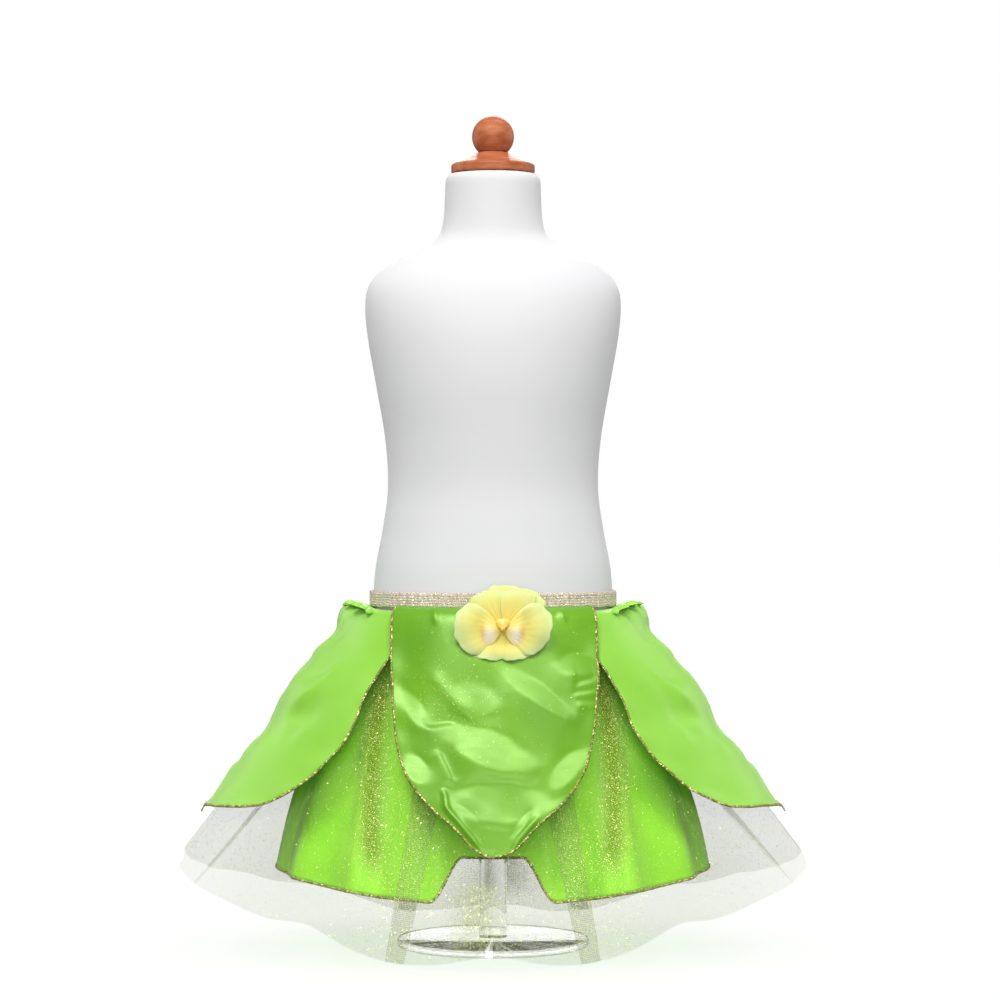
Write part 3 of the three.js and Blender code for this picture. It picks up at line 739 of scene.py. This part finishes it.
def tullePanel(facing):
    drop = np.linspace(0, 1, tulle["rows"])[:, None] ** 1.1
    columns = tulleColumns()
    step = np.degrees(tulle["foldRadius"] / tulleForm.roundness(np.full_like(drop, 45.0), drop)) / 2
    drive = np.concatenate([
        np.ones_like(drop), mix(tulle["frontPleat"]["edge"], drop), mix(tulle["frontPleat"]["overlap"], drop),
        mix(tulle["sidePleat"]["edge"], drop), mix(tulle["sidePleat"]["overlap"], drop), step], 1)
    degrees = facing + drive @ columns[:, :6].T
    level = columns[None, :, 6]
    drop = drop * (1 - 0.04 * bump((np.abs(turnBetween(degrees, facing)) - 90) / 8))  # rounded at the side seams
    grid = tulleForm.point(degrees, drop, tulleOut(degrees, level, drop))
    for at, wide, rise in tulle["hemWaves"]:
        grid[..., 2] += rise * drop ** 3 * bump(turnBetween(np.abs(turnBetween(degrees, 0)), at) / wide)
    across = np.cumsum(np.r_[0, np.linalg.norm(np.diff(grid[-1], axis=0), axis=1)])[None, :]
    uv = np.stack(np.broadcast_arrays(across, drop * tulleForm.front.length), -1) * 0.01
    return grid, uv, degrees, drop


for name, node, facing, seed in [("tulleFront", "tulle_front", 0, 11), ("tulleBack", "tulle_back", 180, 12)]:
    grid, uv, degrees, drop = tullePanel(facing)
    fromFront = turnBetween(degrees, facing)
    away = np.abs(fromFront)
    # A bunched fold runs down each side of the front, narrowing to the hem, and one lies at the centre.
    sideFold = bump((away - (45 - 26 * drop)) / (6.0 - 4.0 * drop)) * rampUp(drop, 0.10, 0.3)
    sideFold = sideFold * (1 - rampUp(drop, 0.70, 0.82))
    centreFold = bump((fromFront + 3.2) / 4.2) * rampUp(drop, 0.70, 0.84) * (1 - 0.85 * rampUp(drop, 0.90, 0.98))
    # The turned-under layers of a pleat are drawn thinner, and so is the veil at the sides.
    inner = (np.abs(tulleColumns()[None, :, 6] - 1) < 0.95) * (0.16 + 0.08 * rampUp(away, 34, 40))
    front = rampUp(drop, 0.70, 0.85) * (1 - rampUp(away, 40, 62))
    # fold thickens the veil for the extra layers, and also paints shade into its colour, darker olive where the
    # layers bunch.
    fold = np.clip(sideFold + 0.5 * centreFold, 0, 1) - inner + 0.06 * front - 0.08 * rampUp(away, 52, 72)
    piece = keep(clothSheet(name, grid, uv, finish["tulle"], 0, {"fold": fold}), "tulle", node)
    piece.visible_shadow = False  # a veil this thin darkens nothing
    piece.visible_diffuse = False
    dense = 0.30 + 2.6 * sideFold + 3.0 * centreFold + 0.6 * bump((away - 19) / 7) + 0.4 * bump(away / 12)
    places, normals = scatter(grid, tulle["glitter"], seed, dense * (inner == 0) * rampUp(drop, 0.0, 0.1))
    sparkle = keep(flakes(name + "Glitter", places + normals * 0.35, normals, 0.32, finish["flake"], seed), "tulle")
    sparkle.visible_shadow = False
    sheetOf(piece, grid)


# Gold overlocked edges.
overlock = {"halfWidth": 1.2, "halfHeight": 0.85, "stitch": 1.25, "step": 0.32}


def overlockEdge(name, path, outward):
    # The path is read again at even steps, and each stitch swells and narrows the yarn round it.
    length = np.r_[0, np.cumsum(np.linalg.norm(np.diff(path, axis=0), axis=1))]
    along = np.arange(0, length[-1], overlock["step"])
    even = np.stack([np.interp(along, length, path[:, k]) for k in range(3)], -1)
    up = np.stack([np.interp(along, length, outward[:, k]) for k in range(3)], -1)
    rng = np.random.default_rng(len(name))
    knots = np.arange(0, length[-1] + 9, 4)
    uneven = 1 + 0.08 * np.interp(along, knots, rng.normal(size=len(knots)))
    phase = 2 * np.pi * along / overlock["stitch"]

    def twist(turn):
        return 1 + 0.20 * np.cos(phase[:, None] - turn)

    return keep(tube(name, even, up, overlock["halfWidth"] * uneven, overlock["halfHeight"] * uneven,
                     finish["thread"], twist), "satin")


# The underskirt. A fold is (angle, half width in degrees, height).
underskirt = {
    "thick": 0.5,
    "folds": [(14, 4, -3), (21, 4.5, 6), (31, 4, -7), (38, 3.5, 6), (48, 5, -4), (60, 5, 6), (72, 5, -4),
              (108, 6, -4), (120, 5, 5), (134, 5, 6), (147, 5, -7), (160, 5, 6)],
    "notch": {"halfWidth": 41, "corner": 14, "height": 40},
    "columns": 190,
    "rows": 72,
    "ripple": 0.9,
}


def underskirtOut(degrees, drop, side):
    out = 0.0
    fixedAngle = np.abs(turnBetween(degrees, 0))
    for at, wide, high in underskirt["folds"]:
        out = out + high * np.minimum(1, drop * 1.6) * drop * bump((fixedAngle - at) / wide)
    x, y = degrees * 2.2, drop * 240
    soft = ripple(x, y * 0.35, 40 + side) * underskirt["ripple"] * rampUp(drop, 0.05, 0.5)
    creases = [((62, 165), (70, 215), 3.0, -1.4), ((95, 120), (88, 190), 4.0, 1.2),
               ((150, 150), (165, 210), 5.0, 1.5), ((250, 120), (240, 200), 5.0, -1.5)]
    folds = sum(crease(fixedAngle * 2.2, y, a, b, wide, high) for a, b, wide, high in creases)
    return out + soft + folds


def underskirtHalf(side):
    # side is 1 for the right half and -1 for the left. The notch lifts the hem near the centre front
    # and back, so each column is shortened by the notch's height there.
    t = np.linspace(0, 1, underskirt["columns"])[None, :]
    angle = 0.12 + 179.76 * t
    share = np.linspace(0, 1, underskirt["rows"])[:, None]
    notch = underskirt["notch"]
    across = satinForm.side(1.0)[0] * np.sin(np.radians(angle))
    past = rampUp(across, notch["halfWidth"] - notch["corner"], notch["halfWidth"] + notch["corner"])
    drop = share * (1 - notch["height"] * (1 - past) / satinForm.front.length)
    degrees = side * angle
    grid = satinForm.point(degrees, drop, underskirtOut(degrees, drop, side))
    uv = np.stack(np.broadcast_arrays(side * angle * 2.6, drop * satinForm.front.length), -1) * 0.01
    return grid, uv, degrees, drop


for name, node, side in [("underskirtRight", "underskirt_right", 1), ("underskirtLeft", "underskirt_left", -1)]:
    grid, uv, degrees, drop = underskirtHalf(side)
    # Its satin is drawn lighter as painted light against the shade of the petals and tulle above.
    piece = clothSheet(name, grid, uv, finish["underSatin"], underskirt["thick"])
    keep(piece, "under_satin", node)
    outward = satinForm.normal(degrees[-1], drop[-1])
    hem = overlockEdge(name + "Hem", grid[-1], outward)
    sheetOf(piece, grid)


# Leaf petals: their half widths at even steps from the waist to the tip.
frontWidths = [88, 87.5, 87, 86, 84.5, 82.5, 79, 72, 56, 31, 13]
sideWidths = [105, 105, 105.5, 107, 111.5, 118, 118, 113, 102, 76, 16]
petalAir = 1.1
satinThick = 1.0
pleatRoom = (1.4, 3.0)  # at the waist and from a quarter of the way down

# Folds are placed on the flat petal in millimetres, x across from its middle and y down from the waist.
# A facet is (middle, half length, half width, turn, lean), or its slope in front, and a crease
# or a step is (start, end, half width, height).
frontFacets = [
    ((33, 70), 37, 9, 41, (-0.06, 0.27)), ((69, 53), 16, 10, 10, (0.0, 0.27)),
    ((-66, 88), 19, 7, 53, (-0.03, 0.28)), ((-4, 116), 36, 17, 25, (0.0, 0.26)),
    ((-63, 137), 13, 9, 60, (-0.04, 0.25)), ((-30, 161), 15, 7, 40, (-0.05, 0.24)),
    ((58, 138), 17, 9, -50, (0.05, 0.24)), ((-56, 40), 42, 17, 80, (0.02, -0.04)),
    ((64, 27), 20, 10, 10, (-0.02, -0.04)), ((44, 98), 26, 9, 62, (0.0, -0.05)),
    ((60, 112), 20, 12, 70, (0.0, -0.05)), ((-3, 188), 17, 8, 0, (0.0, 0.02)),
    ((2, 160), 42, 16, 0, (0.0, 0.18)), ((-22, 172), 13, 4.5, 48, (-0.10, 0.24)),
    ((22, 178), 12, 4, -50, (0.08, 0.22)), ((-16, 76), 18, 14, 30, (0.0, 0.15)),
    ((30, 124), 13, 5, 30, (0.0, 0.20)),
]
sideFacets = [
    ((-20, 60), 40, 22, 20, (0.08, 0.26)), ((20, 120), 34, 16, 160, (-0.12, -0.26)),
    ((-10, 160), 30, 12, 10, (0.12, 0.28)), ((48, 70), 24, 12, 70, (-0.12, -0.26)),
    ((56, 120), 20, 10, 30, (0.16, 0.32)), ((-60, 110), 24, 12, 100, (0.16, -0.28)),
    ((40, 160), 14, 6, 20, (0.10, 0.34)), ((10, 90), 14, 8, 140, (0.0, 0.30)),
]
frontSteps = [
    ((-57, 103), (-32, 95), 1.8, 1.1), ((66, 70), (85, 67), 1.7, 0.9),
    ((64, 77), (86, 77), 1.7, 1.0), ((66, 84), (85, 87), 1.8, 1.0), ((-46, 117), (-32, 145), 1.9, 1.2),
]
frontCreases = [
    ((-51, 7), (-47, 16), 2.4, 1.7), ((53, 9), (60, 13), 2.6, 1.8), ((-41, 151), (-38, 167), 2.6, 2.1),
    ((-38, 166), (-13, 193), 2.6, 2.2), ((33, 174), (14, 195), 2.6, 2.0), ((-50, 60), (-20, 88), 7, 1.2),
]
sideSteps = [
    ((-34, 40), (30, 44), 10, 2.0), ((-60, 90), (-10, 84), 8, 2.2), ((0, 112), (66, 120), 8, 2.4),
    ((-50, 140), (0, 150), 7, 2.0), ((10, 160), (58, 166), 4, 1.5), ((-20, 66), (10, 62), 4, -1.4),
    ((30, 84), (76, 78), 6, 1.6), ((-76, 120), (-50, 126), 5, 1.4), ((-20, 182), (44, 190), 5, 1.6),
]
sideCreases = [
    ((20, 6), (6, 34), 3.4, -2.4), ((36, 8), (24, 40), 3.6, 2.6), ((-20, 8), (-14, 44), 3.4, 2.2),
    ((-40, 10), (-30, 50), 4, -2.0), ((4, 8), (-2, 30), 3, 2.2), ((54, 14), (46, 44), 4, 1.8),
    ((22, 150), (40, 158), 3, -1.6), ((26, 140), (44, 146), 2.6, 1.5), ((6, 196), (40, 200), 4, -1.8),
    ((78, 66), (92, 100), 4, -1.4), ((-64, 66), (-52, 108), 5, 1.6), ((60, 128), (86, 140), 4, 1.4),
]
backSteps = [((-60, 50), (-10, 56), 6, 1.2), ((40, 100), (78, 104), 5, -1.2)]
backCreases = [((-30, 14), (-44, 50), 5, 1.2), ((34, 20), (46, 60), 5, -1.2)]
# The side petals wear the lighter satin, whose extra lightness is painted sheen.
sidePetal = {"tip": 0.81, "widths": sideWidths, "over": 0, "lift": 2.6, "cloth": "sideSatinPaintedSheen",
             "facets": leaningPatches(sideFacets), "steps": sideSteps, "creases": sideCreases, "tail": 5, "specks": 0,
             "grid": (120, 100)}
middlePetal = {"tip": 0.71, "widths": frontWidths, "over": 1.8, "lift": 6.0, "cloth": "satin",
               "facets": slopedPatches(frontFacets), "mirror": 1, "tail": 0}
petals = [
    {"name": "petalLeft", "node": "petal_left", "at": -90, **sidePetal, "mirror": -1, "seed": 3},
    {"name": "petalRight", "node": "petal_right", "at": 90, **sidePetal, "mirror": 1, "seed": 4},
    {"name": "petalFront", "node": "petal_front", "at": 0.5, **middlePetal, "steps": frontSteps,
     "creases": frontCreases, "specks": 900, "seed": 5, "grid": (160, 124)},
    {"name": "petalBack", "node": "petal_back", "at": 180, **middlePetal, "steps": backSteps,
     "creases": backCreases, "specks": 0, "seed": 6, "grid": (120, 100)},
]
# Large soft folds that all petals share: angle, half width, height, start and end down the skirt.
petalFolds = [
    (-21, 7, 1.4, 0.2, 0.8), (17, 7, 1.4, 0.15, 0.75),
    (74, 8, 2.0, 0.2, 0.8), (-74, 8, 2.0, 0.2, 0.8), (108, 8, 2.0, 0.2, 0.8), (-108, 8, 2.0, 0.2, 0.8),
    (160, 7, 1.4, 0.2, 0.8), (-160, 7, 1.4, 0.2, 0.8), (87, 17, 7.5, 0.01, 0.1), (-87, 17, 7.5, 0.01, 0.1),
]


def petalOut(degrees, drop, over):
    # Clear of the tulle's pleats and, for a petal that lies over its neighbours, of their cloth too.
    out = 2 * mix(pleatRoom, np.minimum(1, drop / 0.25)) + satinThick + petalAir + over * (satinThick + petalAir)
    for at, wide, high, start, end in petalFolds:
        middle = (start + end) / 2
        out = out + high * bump((drop - middle) / (end - middle)) * bump(turnBetween(degrees, at) / wide)
    return out


def petalSurface(petal):
    # Rows crowd towards the tip, and a row's ends are the petal's half width to either side.
    rows, columns = petal["grid"]
    share = 1 - (1 - np.linspace(0, 1, rows)[:, None]) ** 1.35
    drop = share * petal["tip"]
    u = np.linspace(-1, 1, columns)[None, :]
    widths = np.array(petal["widths"], float)
    halfWidth = np.maximum(smoothCurve(np.stack([np.linspace(0, 1, len(widths)) * 200, widths], -1))(
        np.linspace(0, 1, 900)), 0)
    half = np.interp(share, halfWidth[:, 0] / 200, halfWidth[:, 1])
    half = half * np.sqrt(np.clip(1 - (np.maximum(0, share - 0.955) / 0.045) ** 2, 0.004, 1))
    x = half * u
    y = share * petal["tip"] * tulleForm.side.length + 0 * u
    degrees = tulleForm.angleAfter(petal["at"], x, drop + 0 * u)
    out = petalOut(degrees, drop, petal["over"])
    px = x * petal["mirror"]
    folds = sum(crease(px, y, *line) for line in petal["creases"])
    folds = folds + sum(foldStep(px, y, *line) for line in petal["steps"])
    warped = [v + 1.6 * ripple(x, y, petal["seed"] + k, 9, 60, 12) for v, k in ((px, 30), (y, 50))]
    folds = folds + petal["facets"](*warped)
    folds = folds + 0.7 * ripple(x, y, petal["seed"]) * rampUp(share, 0.02, 0.3)
    # The folds stand on "lift", cut off softly at nothing, so they never go inside the tulle.
    out = out + np.logaddexp(0, (folds + petal["lift"]) / 0.8) * 0.8 * rampUp(share, 0.0, 0.06)
    # The overlocked edge is a little longer than the cloth inside it, so it waves.
    edge = bump((half - np.abs(x)) / 9) * rampUp(share, 0.1, 0.4)
    out = out + edge * (0.6 * np.sin(y / 5.1 + petal["seed"] + np.sign(u) * 1.3) + 0.8)
    grid = tulleForm.point(degrees, drop + 0 * u, out)
    return grid, np.stack([x, y], -1) * 0.01, degrees, drop + 0 * u


for petal in petals:
    grid, uv, degrees, drop = petalSurface(petal)
    piece = keep(clothSheet(petal["name"], grid, uv, finish[petal["cloth"]], 0.6), "satin", petal["node"])
    normal = tulleForm.normal(degrees, drop)
    path = np.concatenate([grid[:, 0], grid[::-1, -1][1:]])
    outward = np.concatenate([normal[:, 0], normal[::-1, -1][1:]])
    trim = overlockEdge(petal["name"] + "Edge", path, outward)
    if petal["tail"]:
        # The overlock's chain of thread runs on past the tip, drooping as a loose end.
        middle = petal["grid"][1] // 2
        tip, down = grid[-1, middle], grid[-1, middle] - grid[-8, middle]
        down /= np.linalg.norm(down)
        t = np.linspace(0, 1, 24)[:, None]
        chain = tip + down * petal["tail"] * t + np.array([0, -1.0, -2.5]) * t ** 2
        chain += normal[-1, middle] * 0.4
        tail = overlockEdge(petal["name"] + "Tail", chain, np.repeat(normal[-1:, middle], 24, 0))
    if petal["specks"]:
        # Loose glitter has rubbed off on the petal, mostly in one patch.
        x, y = uv[..., 0] * 100, uv[..., 1] * 100
        patch = bump(np.hypot((x + 30) / 34, (y - 76) / 34))
        places, normals = scatter(grid, petal["specks"], 31, 0.05 + patch)
        specks = flakes(petal["name"] + "Specks", places + normals * 0.5, normals, 0.3, finish["flake"], 31)
        keep(specks, "satin")
        specks.visible_shadow = False
    sheetOf(piece, grid)


# Gathers where the side petals meet the waistband.
gather = {"at": 74, "halfLength": 34, "height": 9, "ruffle": 3.4, "folds": 3.4}

for side, name in [(-1, "gatherLeft"), (1, "gatherRight")]:
    # A little bunch of satin: it rises from the petal's top, leans over the waistband's end and curls
    # outwards and down again. Its height is a half oval of the length, folded by a sine that turns.
    u, v = np.linspace(-1, 1, 90)[None, :], np.linspace(0, 1, 32)[:, None]
    tall = gather["height"] * np.sqrt(np.maximum(0.0, 1 - u ** 2)) + 0.6
    fold = np.sin(gather["folds"] * np.pi * u + 1.4 * v + side) + 0.5 * np.sin(7.1 * np.pi * u - 2 * v)
    degrees = side * (gather["at"] + np.degrees(gather["halfLength"] * u / 112))
    rise = tall * np.sin(v * 2.3) * (1 + 0.10 * fold)
    out = 5.4 + 6.0 * v + 4.5 * v ** 3 + gather["ruffle"] * fold * (0.35 + 0.65 * v) * np.sqrt(1 - u ** 2 + 1e-6)
    foot = tulleForm.base(degrees + 0 * v, np.full(np.broadcast(degrees, v).shape, 0.035))
    away = np.stack([np.sin(np.radians(degrees)), -np.cos(np.radians(degrees))], -1) + 0 * v[..., None]
    grid = foot.copy()
    grid[..., :2] += away * (out - 3.0)[..., None]
    grid[..., 2] += 3.4 + rise
    if side < 0:
        grid = grid[:, ::-1]
    uv = np.stack(np.broadcast_arrays(u * gather["halfLength"], v * 20), -1) * 0.01
    # The gathers wear the side petals' lighter satin, whose extra lightness is painted sheen.
    piece = keep(clothSheet(name, grid, uv, finish["sideSatinPaintedSheen"], 0.5), "satin")
    sheetOf(piece, grid)
print("gathers made")


# The waistband is a ribbed elastic with a round-cornered section.
band = {"halfWidth": 109.8, "halfDepth": 83.3, "thick": 2.2, "bottom": 304.9, "top": 319, "ribs": 6, "segments": 600}

turn = np.linspace(0, 2 * np.pi, band["segments"], endpoint=False)[None, :]
loop = np.linspace(0, 1, 56, endpoint=False)[:, None]  # round the elastic's own oblong section
height = band["top"] - band["bottom"]
faceShare = np.clip(np.abs((loop * 2) % 2 - 1) * 1.16 - 0.08, 0, 1)
ribs = 0.22 * np.cos(2 * np.pi * band["ribs"] * faceShare)
outerSide = np.where(loop < 0.5, 1.0, -1.0)
roundEnd = np.sqrt(np.clip(1 - (np.abs(faceShare - 0.5) * 2) ** 14, 0, 1))
depth = outerSide * (band["thick"] / 2 - 0.25 + ribs) * roundEnd
pinch = 0.22 * np.sin(turn * 150) + 0.15 * np.sin(turn * 61 + 1)
z = band["bottom"] + 0.2 + (height - 0.4) * faceShare + 0.25 * np.sin(turn * 23)
bandGrid = np.stack(np.broadcast_arrays(
    (band["halfWidth"] + depth + pinch) * np.sin(turn), -(band["halfDepth"] + depth + pinch) * np.cos(turn), z), -1)
bandUv = np.stack(np.broadcast_arrays(turn * 97, loop * 30), -1) * 0.01
faces = gridQuads(len(loop) + 1, band["segments"], True) % (len(loop) * band["segments"])
waistband = addMesh("waistband", bandGrid.reshape(-1, 3), faces, bandUv.reshape(-1, 2), None, [finish["elastic"]])
keep(weld(waistband), "elastic", "waistband")
places, normals = scatter(bandGrid[2:26], 3000, 21)
outwards = np.sign(np.sum(normals * places * [1, 1, 0], axis=1))[:, None] * normals
keep(flakes("waistbandGlitter", places + outwards * 0.2, outwards, 0.3, finish["bandFlake"], 22), "elastic")
print("waistband made")


# The fabric flower, its middle in millimetres.
flower = {"x": 8.6, "z": 289.0, "y": -107.0, "thick": 0.7}

# Each petal is a fan about the throat. outline holds (turn from straight up, radius) along its rim.
flowerPetals = [
    {"name": "flowerBack", "node": "flower_back", "level": 1.0, "lift": 0.5, "ruffle": 0.4, "tint": (0.08, 0.6),
     "outline": [(-27, 20), (-25, 33), (-19, 36.5), (-8, 37.2), (4, 37.3), (18, 37.4), (30, 39.5), (42, 42),
                 (54, 43.6), (62, 41), (66, 30)]},
    {"name": "flowerUpperLeft", "node": "flower_upper_left", "level": 4.9, "lift": 2.0, "ruffle": 0.6,
     "tint": (0.06, 0.8), "outline": [(-58, 22), (-55, 34), (-47, 37.6), (-34, 36.6), (-25, 35.2), (-14, 33.4),
                                      (-5, 32), (2, 30.4), (8, 24)]},
    {"name": "flowerUpperRight", "node": "flower_upper_right", "level": 6.2, "lift": 2.0, "ruffle": 0.6,
     "tint": (0.06, 0.8), "outline": [(-5, 26), (0, 31), (6, 32.6), (14, 33.8), (25, 35.6), (36, 38), (43, 39.4),
                                      (51, 37), (55, 24)]},
    {"name": "flowerLip", "node": "flower_lip", "level": 7.6, "lift": 4.2, "ruffle": 0.9, "tint": (0.0, 0.75),
     "outline": [(112, 24), (117, 33), (124, 35.2), (134, 33.6), (146, 31), (157, 29.2), (168, 27.8),
                 (180, 26.4), (192, 27.8), (203, 29.2), (214, 31), (226, 33.6), (236, 35.2), (243, 33), (248, 24)]},
    {"name": "flowerSideLeft", "node": "flower_side_left", "level": 11.5, "lift": -0.5, "ruffle": 0.8,
     "tint": (0.0, 0.7), "outline": [(-149, 17), (-147, 23), (-141, 29), (-132, 33.4), (-119, 38), (-104, 41),
                                     (-87, 42), (-73, 41.4), (-60, 39), (-51, 35), (-46, 29), (-44, 20)]},
    {"name": "flowerSideRight", "node": "flower_side_right", "level": 11.5, "lift": -0.5, "ruffle": 0.8,
     "tint": (0.0, 0.7), "outline": [(44, 20), (46, 29.5), (51, 35.5), (60, 40), (72, 42.8), (85, 43.2), (103, 40.4),
                                     (119, 37.6), (132, 33.2), (141, 29), (147, 23), (149, 17)]},
    {"name": "flowerHood", "node": "flower_hood", "level": 15.5, "lift": -4.0, "ruffle": 0.3, "tint": (0.55, 1.0),
     "outline": [(-66, 6), (-54, 8.8), (-34, 9.2), (0, 8.6), (34, 9.2), (54, 8.8), (66, 6)]},
]


def flowerPetalGrid(shape, rows=40, columns=76):
    # The petal's radius is v times its outline's, so v runs from the throat to the rim. It lifts as v,
    # its rim turns back as v to the sixth, and the rim is ruffled by sines of the angle.
    outline = smoothCurve(shape["outline"][::-1])(np.linspace(0, 1, columns))
    angle, rim = np.radians(outline[:, 0])[None, :], outline[:, 1][None, :]
    v = (np.linspace(0.03, 1, rows)[:, None]) ** 0.85
    middle = np.sign(np.mean(angle)) * math.radians(96)
    phase = len(shape["name"]) + shape["level"]
    edge = 1 + 0.012 * v ** 4 * (np.sin(angle * 14 + phase) + 0.7 * np.sin(angle * 25 + 1))
    radius = v * rim * edge
    out = shape["level"] + shape["lift"] * v - 2.0 * v ** 6
    out = out + shape["ruffle"] * v ** 3 * np.sin(angle * 8 + phase) + 0.25 * np.sin(angle * 30) * v * (1 - v)
    heel = bump((angle - middle) / 0.52)
    orangeAndShade, paintedHighlight = np.zeros_like(radius), np.zeros_like(radius)
    inside = 1 - np.clip((radius - 6) / (rim - 7.5), 0, 1) ** 1.4
    if "Side" in shape["name"]:
        ridge, valley = bump((radius - 12.5) / 6) * heel, bump((radius - 20) / 3.6) * heel
        out = out + 1.6 * ridge - 1.2 * valley + 1.5 * bump((radius - 31) / 8)
        # The lower edge curls back towards the lip.
        out = out - 2.6 * bump((np.abs(angle) - math.radians(150)) / 0.6) * np.minimum(1, radius / 20)
        high, wide = radius * np.cos(angle), radius * np.abs(np.sin(angle))
        # Painted highlight: a whitish patch on the ridge's slope near the throat.
        paintedHighlight = bump(np.hypot((wide - 11.2) / 4.8, (high + 6.0) / 7.0))
        # Orange: painted shade along the valley beside the ridge, plus darker orange by the throat and a blotch lower
        # down.
        orangeAndShade = 0.42 * bump(np.hypot((wide - 17.5) / 3.0, (high + 2.5) / 7.5)) + 0.5 * bump(radius / 5)
        orangeAndShade = orangeAndShade + 0.36 * bump(np.hypot(wide - 9.6, high + 15.5) / 4.2)
    elif shape["name"] == "flowerLip":
        ends = rampUp(np.abs(angle - np.pi), 0.45, 1.0)
        out = out - 1.0 * bump((radius - 14) / 5) - 3.0 * ends * np.minimum(1, v * 1.4)
        for side in (-1, 1):
            spot = np.hypot(radius * np.sin(angle) - 9 * side, -radius * np.cos(angle) - 12.5)
            orangeAndShade = orangeAndShade + 0.42 * bump(spot / 3.6)
    elif shape["name"] == "flowerHood":
        orangeAndShade = 0.75 * bump((np.abs(angle) - 0.75) / 0.22) * bump((radius - 7) / 3.2)
        # Painted highlight: the whiter middle of the hood's raised crest.
        paintedHighlight = 0.4 * bump(angle / 0.2) * bump((radius - 6) / 3)
        out = out + 1.2 * bump(angle / 0.3)
    else:
        orangeAndShade = 0.12 * bump(radius / 14)
    x, z = radius * np.sin(angle), radius * np.cos(angle)
    grid = np.stack([flower["x"] + x, flower["y"] - out, flower["z"] + z], -1)
    tint = mix(shape["tint"], inside) * np.ones_like(radius)
    uv = np.stack(np.broadcast_arrays(angle * 30, radius), -1) * 0.01
    return grid, uv, {"tint": tint, "orangeAndShade": orangeAndShade, "paintedHighlight": paintedHighlight}


for shape in flowerPetals:
    grid, uv, values = flowerPetalGrid(shape)
    piece = clothSheet(shape["name"], grid, uv, finish["flower"], flower["thick"], values)
    keep(piece, "flower", shape["node"])
    sheetOf(piece, grid)

throat = {"radius": 2.2, "out": 16.0}
side = np.linspace(0, np.pi, 20)
bead = turned("flowerThroat", np.stack([throat["radius"] * np.sin(side), throat["radius"] * np.cos(side)], -1),
              finish["flower"], 24)
bead.data.transform(Matrix.Translation(
    (flower["x"] * 0.001, (flower["y"] - throat["out"]) * 0.001, flower["z"] * 0.001)))
count = len(bead.data.vertices)
for key, value in (("tint", 1.0), ("orangeAndShade", 0.3), ("paintedHighlight", 0.0)):
    bead.data.attributes.new(key, "FLOAT", "POINT").data.foreach_set("value", np.full(count, value, np.float32))
keep(bead, "flower_centre", "flower_throat")
print("flower made")


# The dress form: its outline holds (height, half width, half depth).
form = {
    "outline": [
        [170, 76, 56], [172, 84, 63], [178, 92, 69.5], [195, 100, 75], [230, 105, 78.5], [275, 105.4, 78.8],
        [298, 106.4, 79.6], [312, 107.6, 80.8], [340, 105.5, 79.5], [375, 99, 76], [412, 94.5, 73],
        [455, 97, 75], [505, 105.5, 79.5], [545, 112.5, 79.5], [573, 115, 75.5], [592, 112, 69.5],
        [606, 101, 62.5], [617, 82, 54.5], [626, 62, 47.5], [637, 49, 43.5], [652, 44.6, 42.2],
        [674, 43.2, 41.4], [686, 42.8, 41], [690.5, 41.4, 39.6], [692.6, 39, 37.2], [693.2, 36, 34.2]],
    "rows": 150,
    "segments": 150,
}
section = smoothCurve(form["outline"])(np.linspace(0, 1, form["rows"]))
section = np.vstack([[170, 0, 0], section, [693.2, 0, 0]])
turn = np.linspace(0, 2 * np.pi, form["segments"], endpoint=False)[None, :]
formGrid = np.stack(np.broadcast_arrays(
    section[:, 1:2] * np.sin(turn), -section[:, 2:3] * np.cos(turn), section[:, 0:1]), -1)
formUv = np.stack(np.broadcast_arrays(turn * 100, section[:, 0:1]), -1) * 0.01
torso = addMesh("formTorso", formGrid.reshape(-1, 3), gridQuads(len(section), form["segments"], True),
                formUv.reshape(-1, 2), None, [finish["jersey"]])
keep(weld(torso), "form_cloth", "form_torso")

cap = {"radius": 37.6, "top": 712.9, "bottom": 693.6, "rim": 8, "neck": 14}
ball = {"radius": 18.9, "sunk": 5.3}
capProfile = roundedProfile([
    [0, cap["bottom"]], [cap["radius"], cap["bottom"]], [cap["radius"], cap["bottom"] + cap["rim"]],
    [cap["radius"] - 12, cap["bottom"] + cap["rim"] + 4.6], [cap["neck"] + 4, cap["top"] - 3],
    [cap["neck"] - 0.5, cap["top"]], [0, cap["top"]]], 2.2)
keep(turned("neckCap", capProfile, finish["wood"]), "wood", "neck_cap")

ballStart = math.asin((ball["sunk"] - ball["radius"]) / ball["radius"])
swing = np.linspace(ballStart, np.pi / 2, 48)
ballProfile = np.stack([ball["radius"] * np.cos(swing), ball["radius"] * np.sin(swing)], -1)
ballProfile[:, 1] += cap["top"] + 0.3 - ball["radius"] * math.sin(ballStart)
ballProfile[-1, 0] = 0
ballProfile = np.vstack([[0, ballProfile[0, 1]], ballProfile])
keep(turned("finialBall", ballProfile, finish["wood"], 72), "wood", "finial_ball")

pole = {"radius": 12.5, "bottom": 7, "top": 169.6}
base = {"radius": 86, "thick": 6.6}
poleProfile = roundedProfile([[0, pole["bottom"]], [pole["radius"], pole["bottom"]],
                              [pole["radius"], pole["top"]], [0, pole["top"]]], 0.6)
keep(turned("standPole", poleProfile, finish["stand"], 64), "stand_acrylic", "stand_pole")
baseProfile = roundedProfile([[0, 0], [base["radius"], 0], [base["radius"], base["thick"]], [0, base["thick"]]], 2)
keep(turned("standBase", baseProfile, finish["stand"], 128), "stand_acrylic", "stand_base")
print("dress form and stand made")
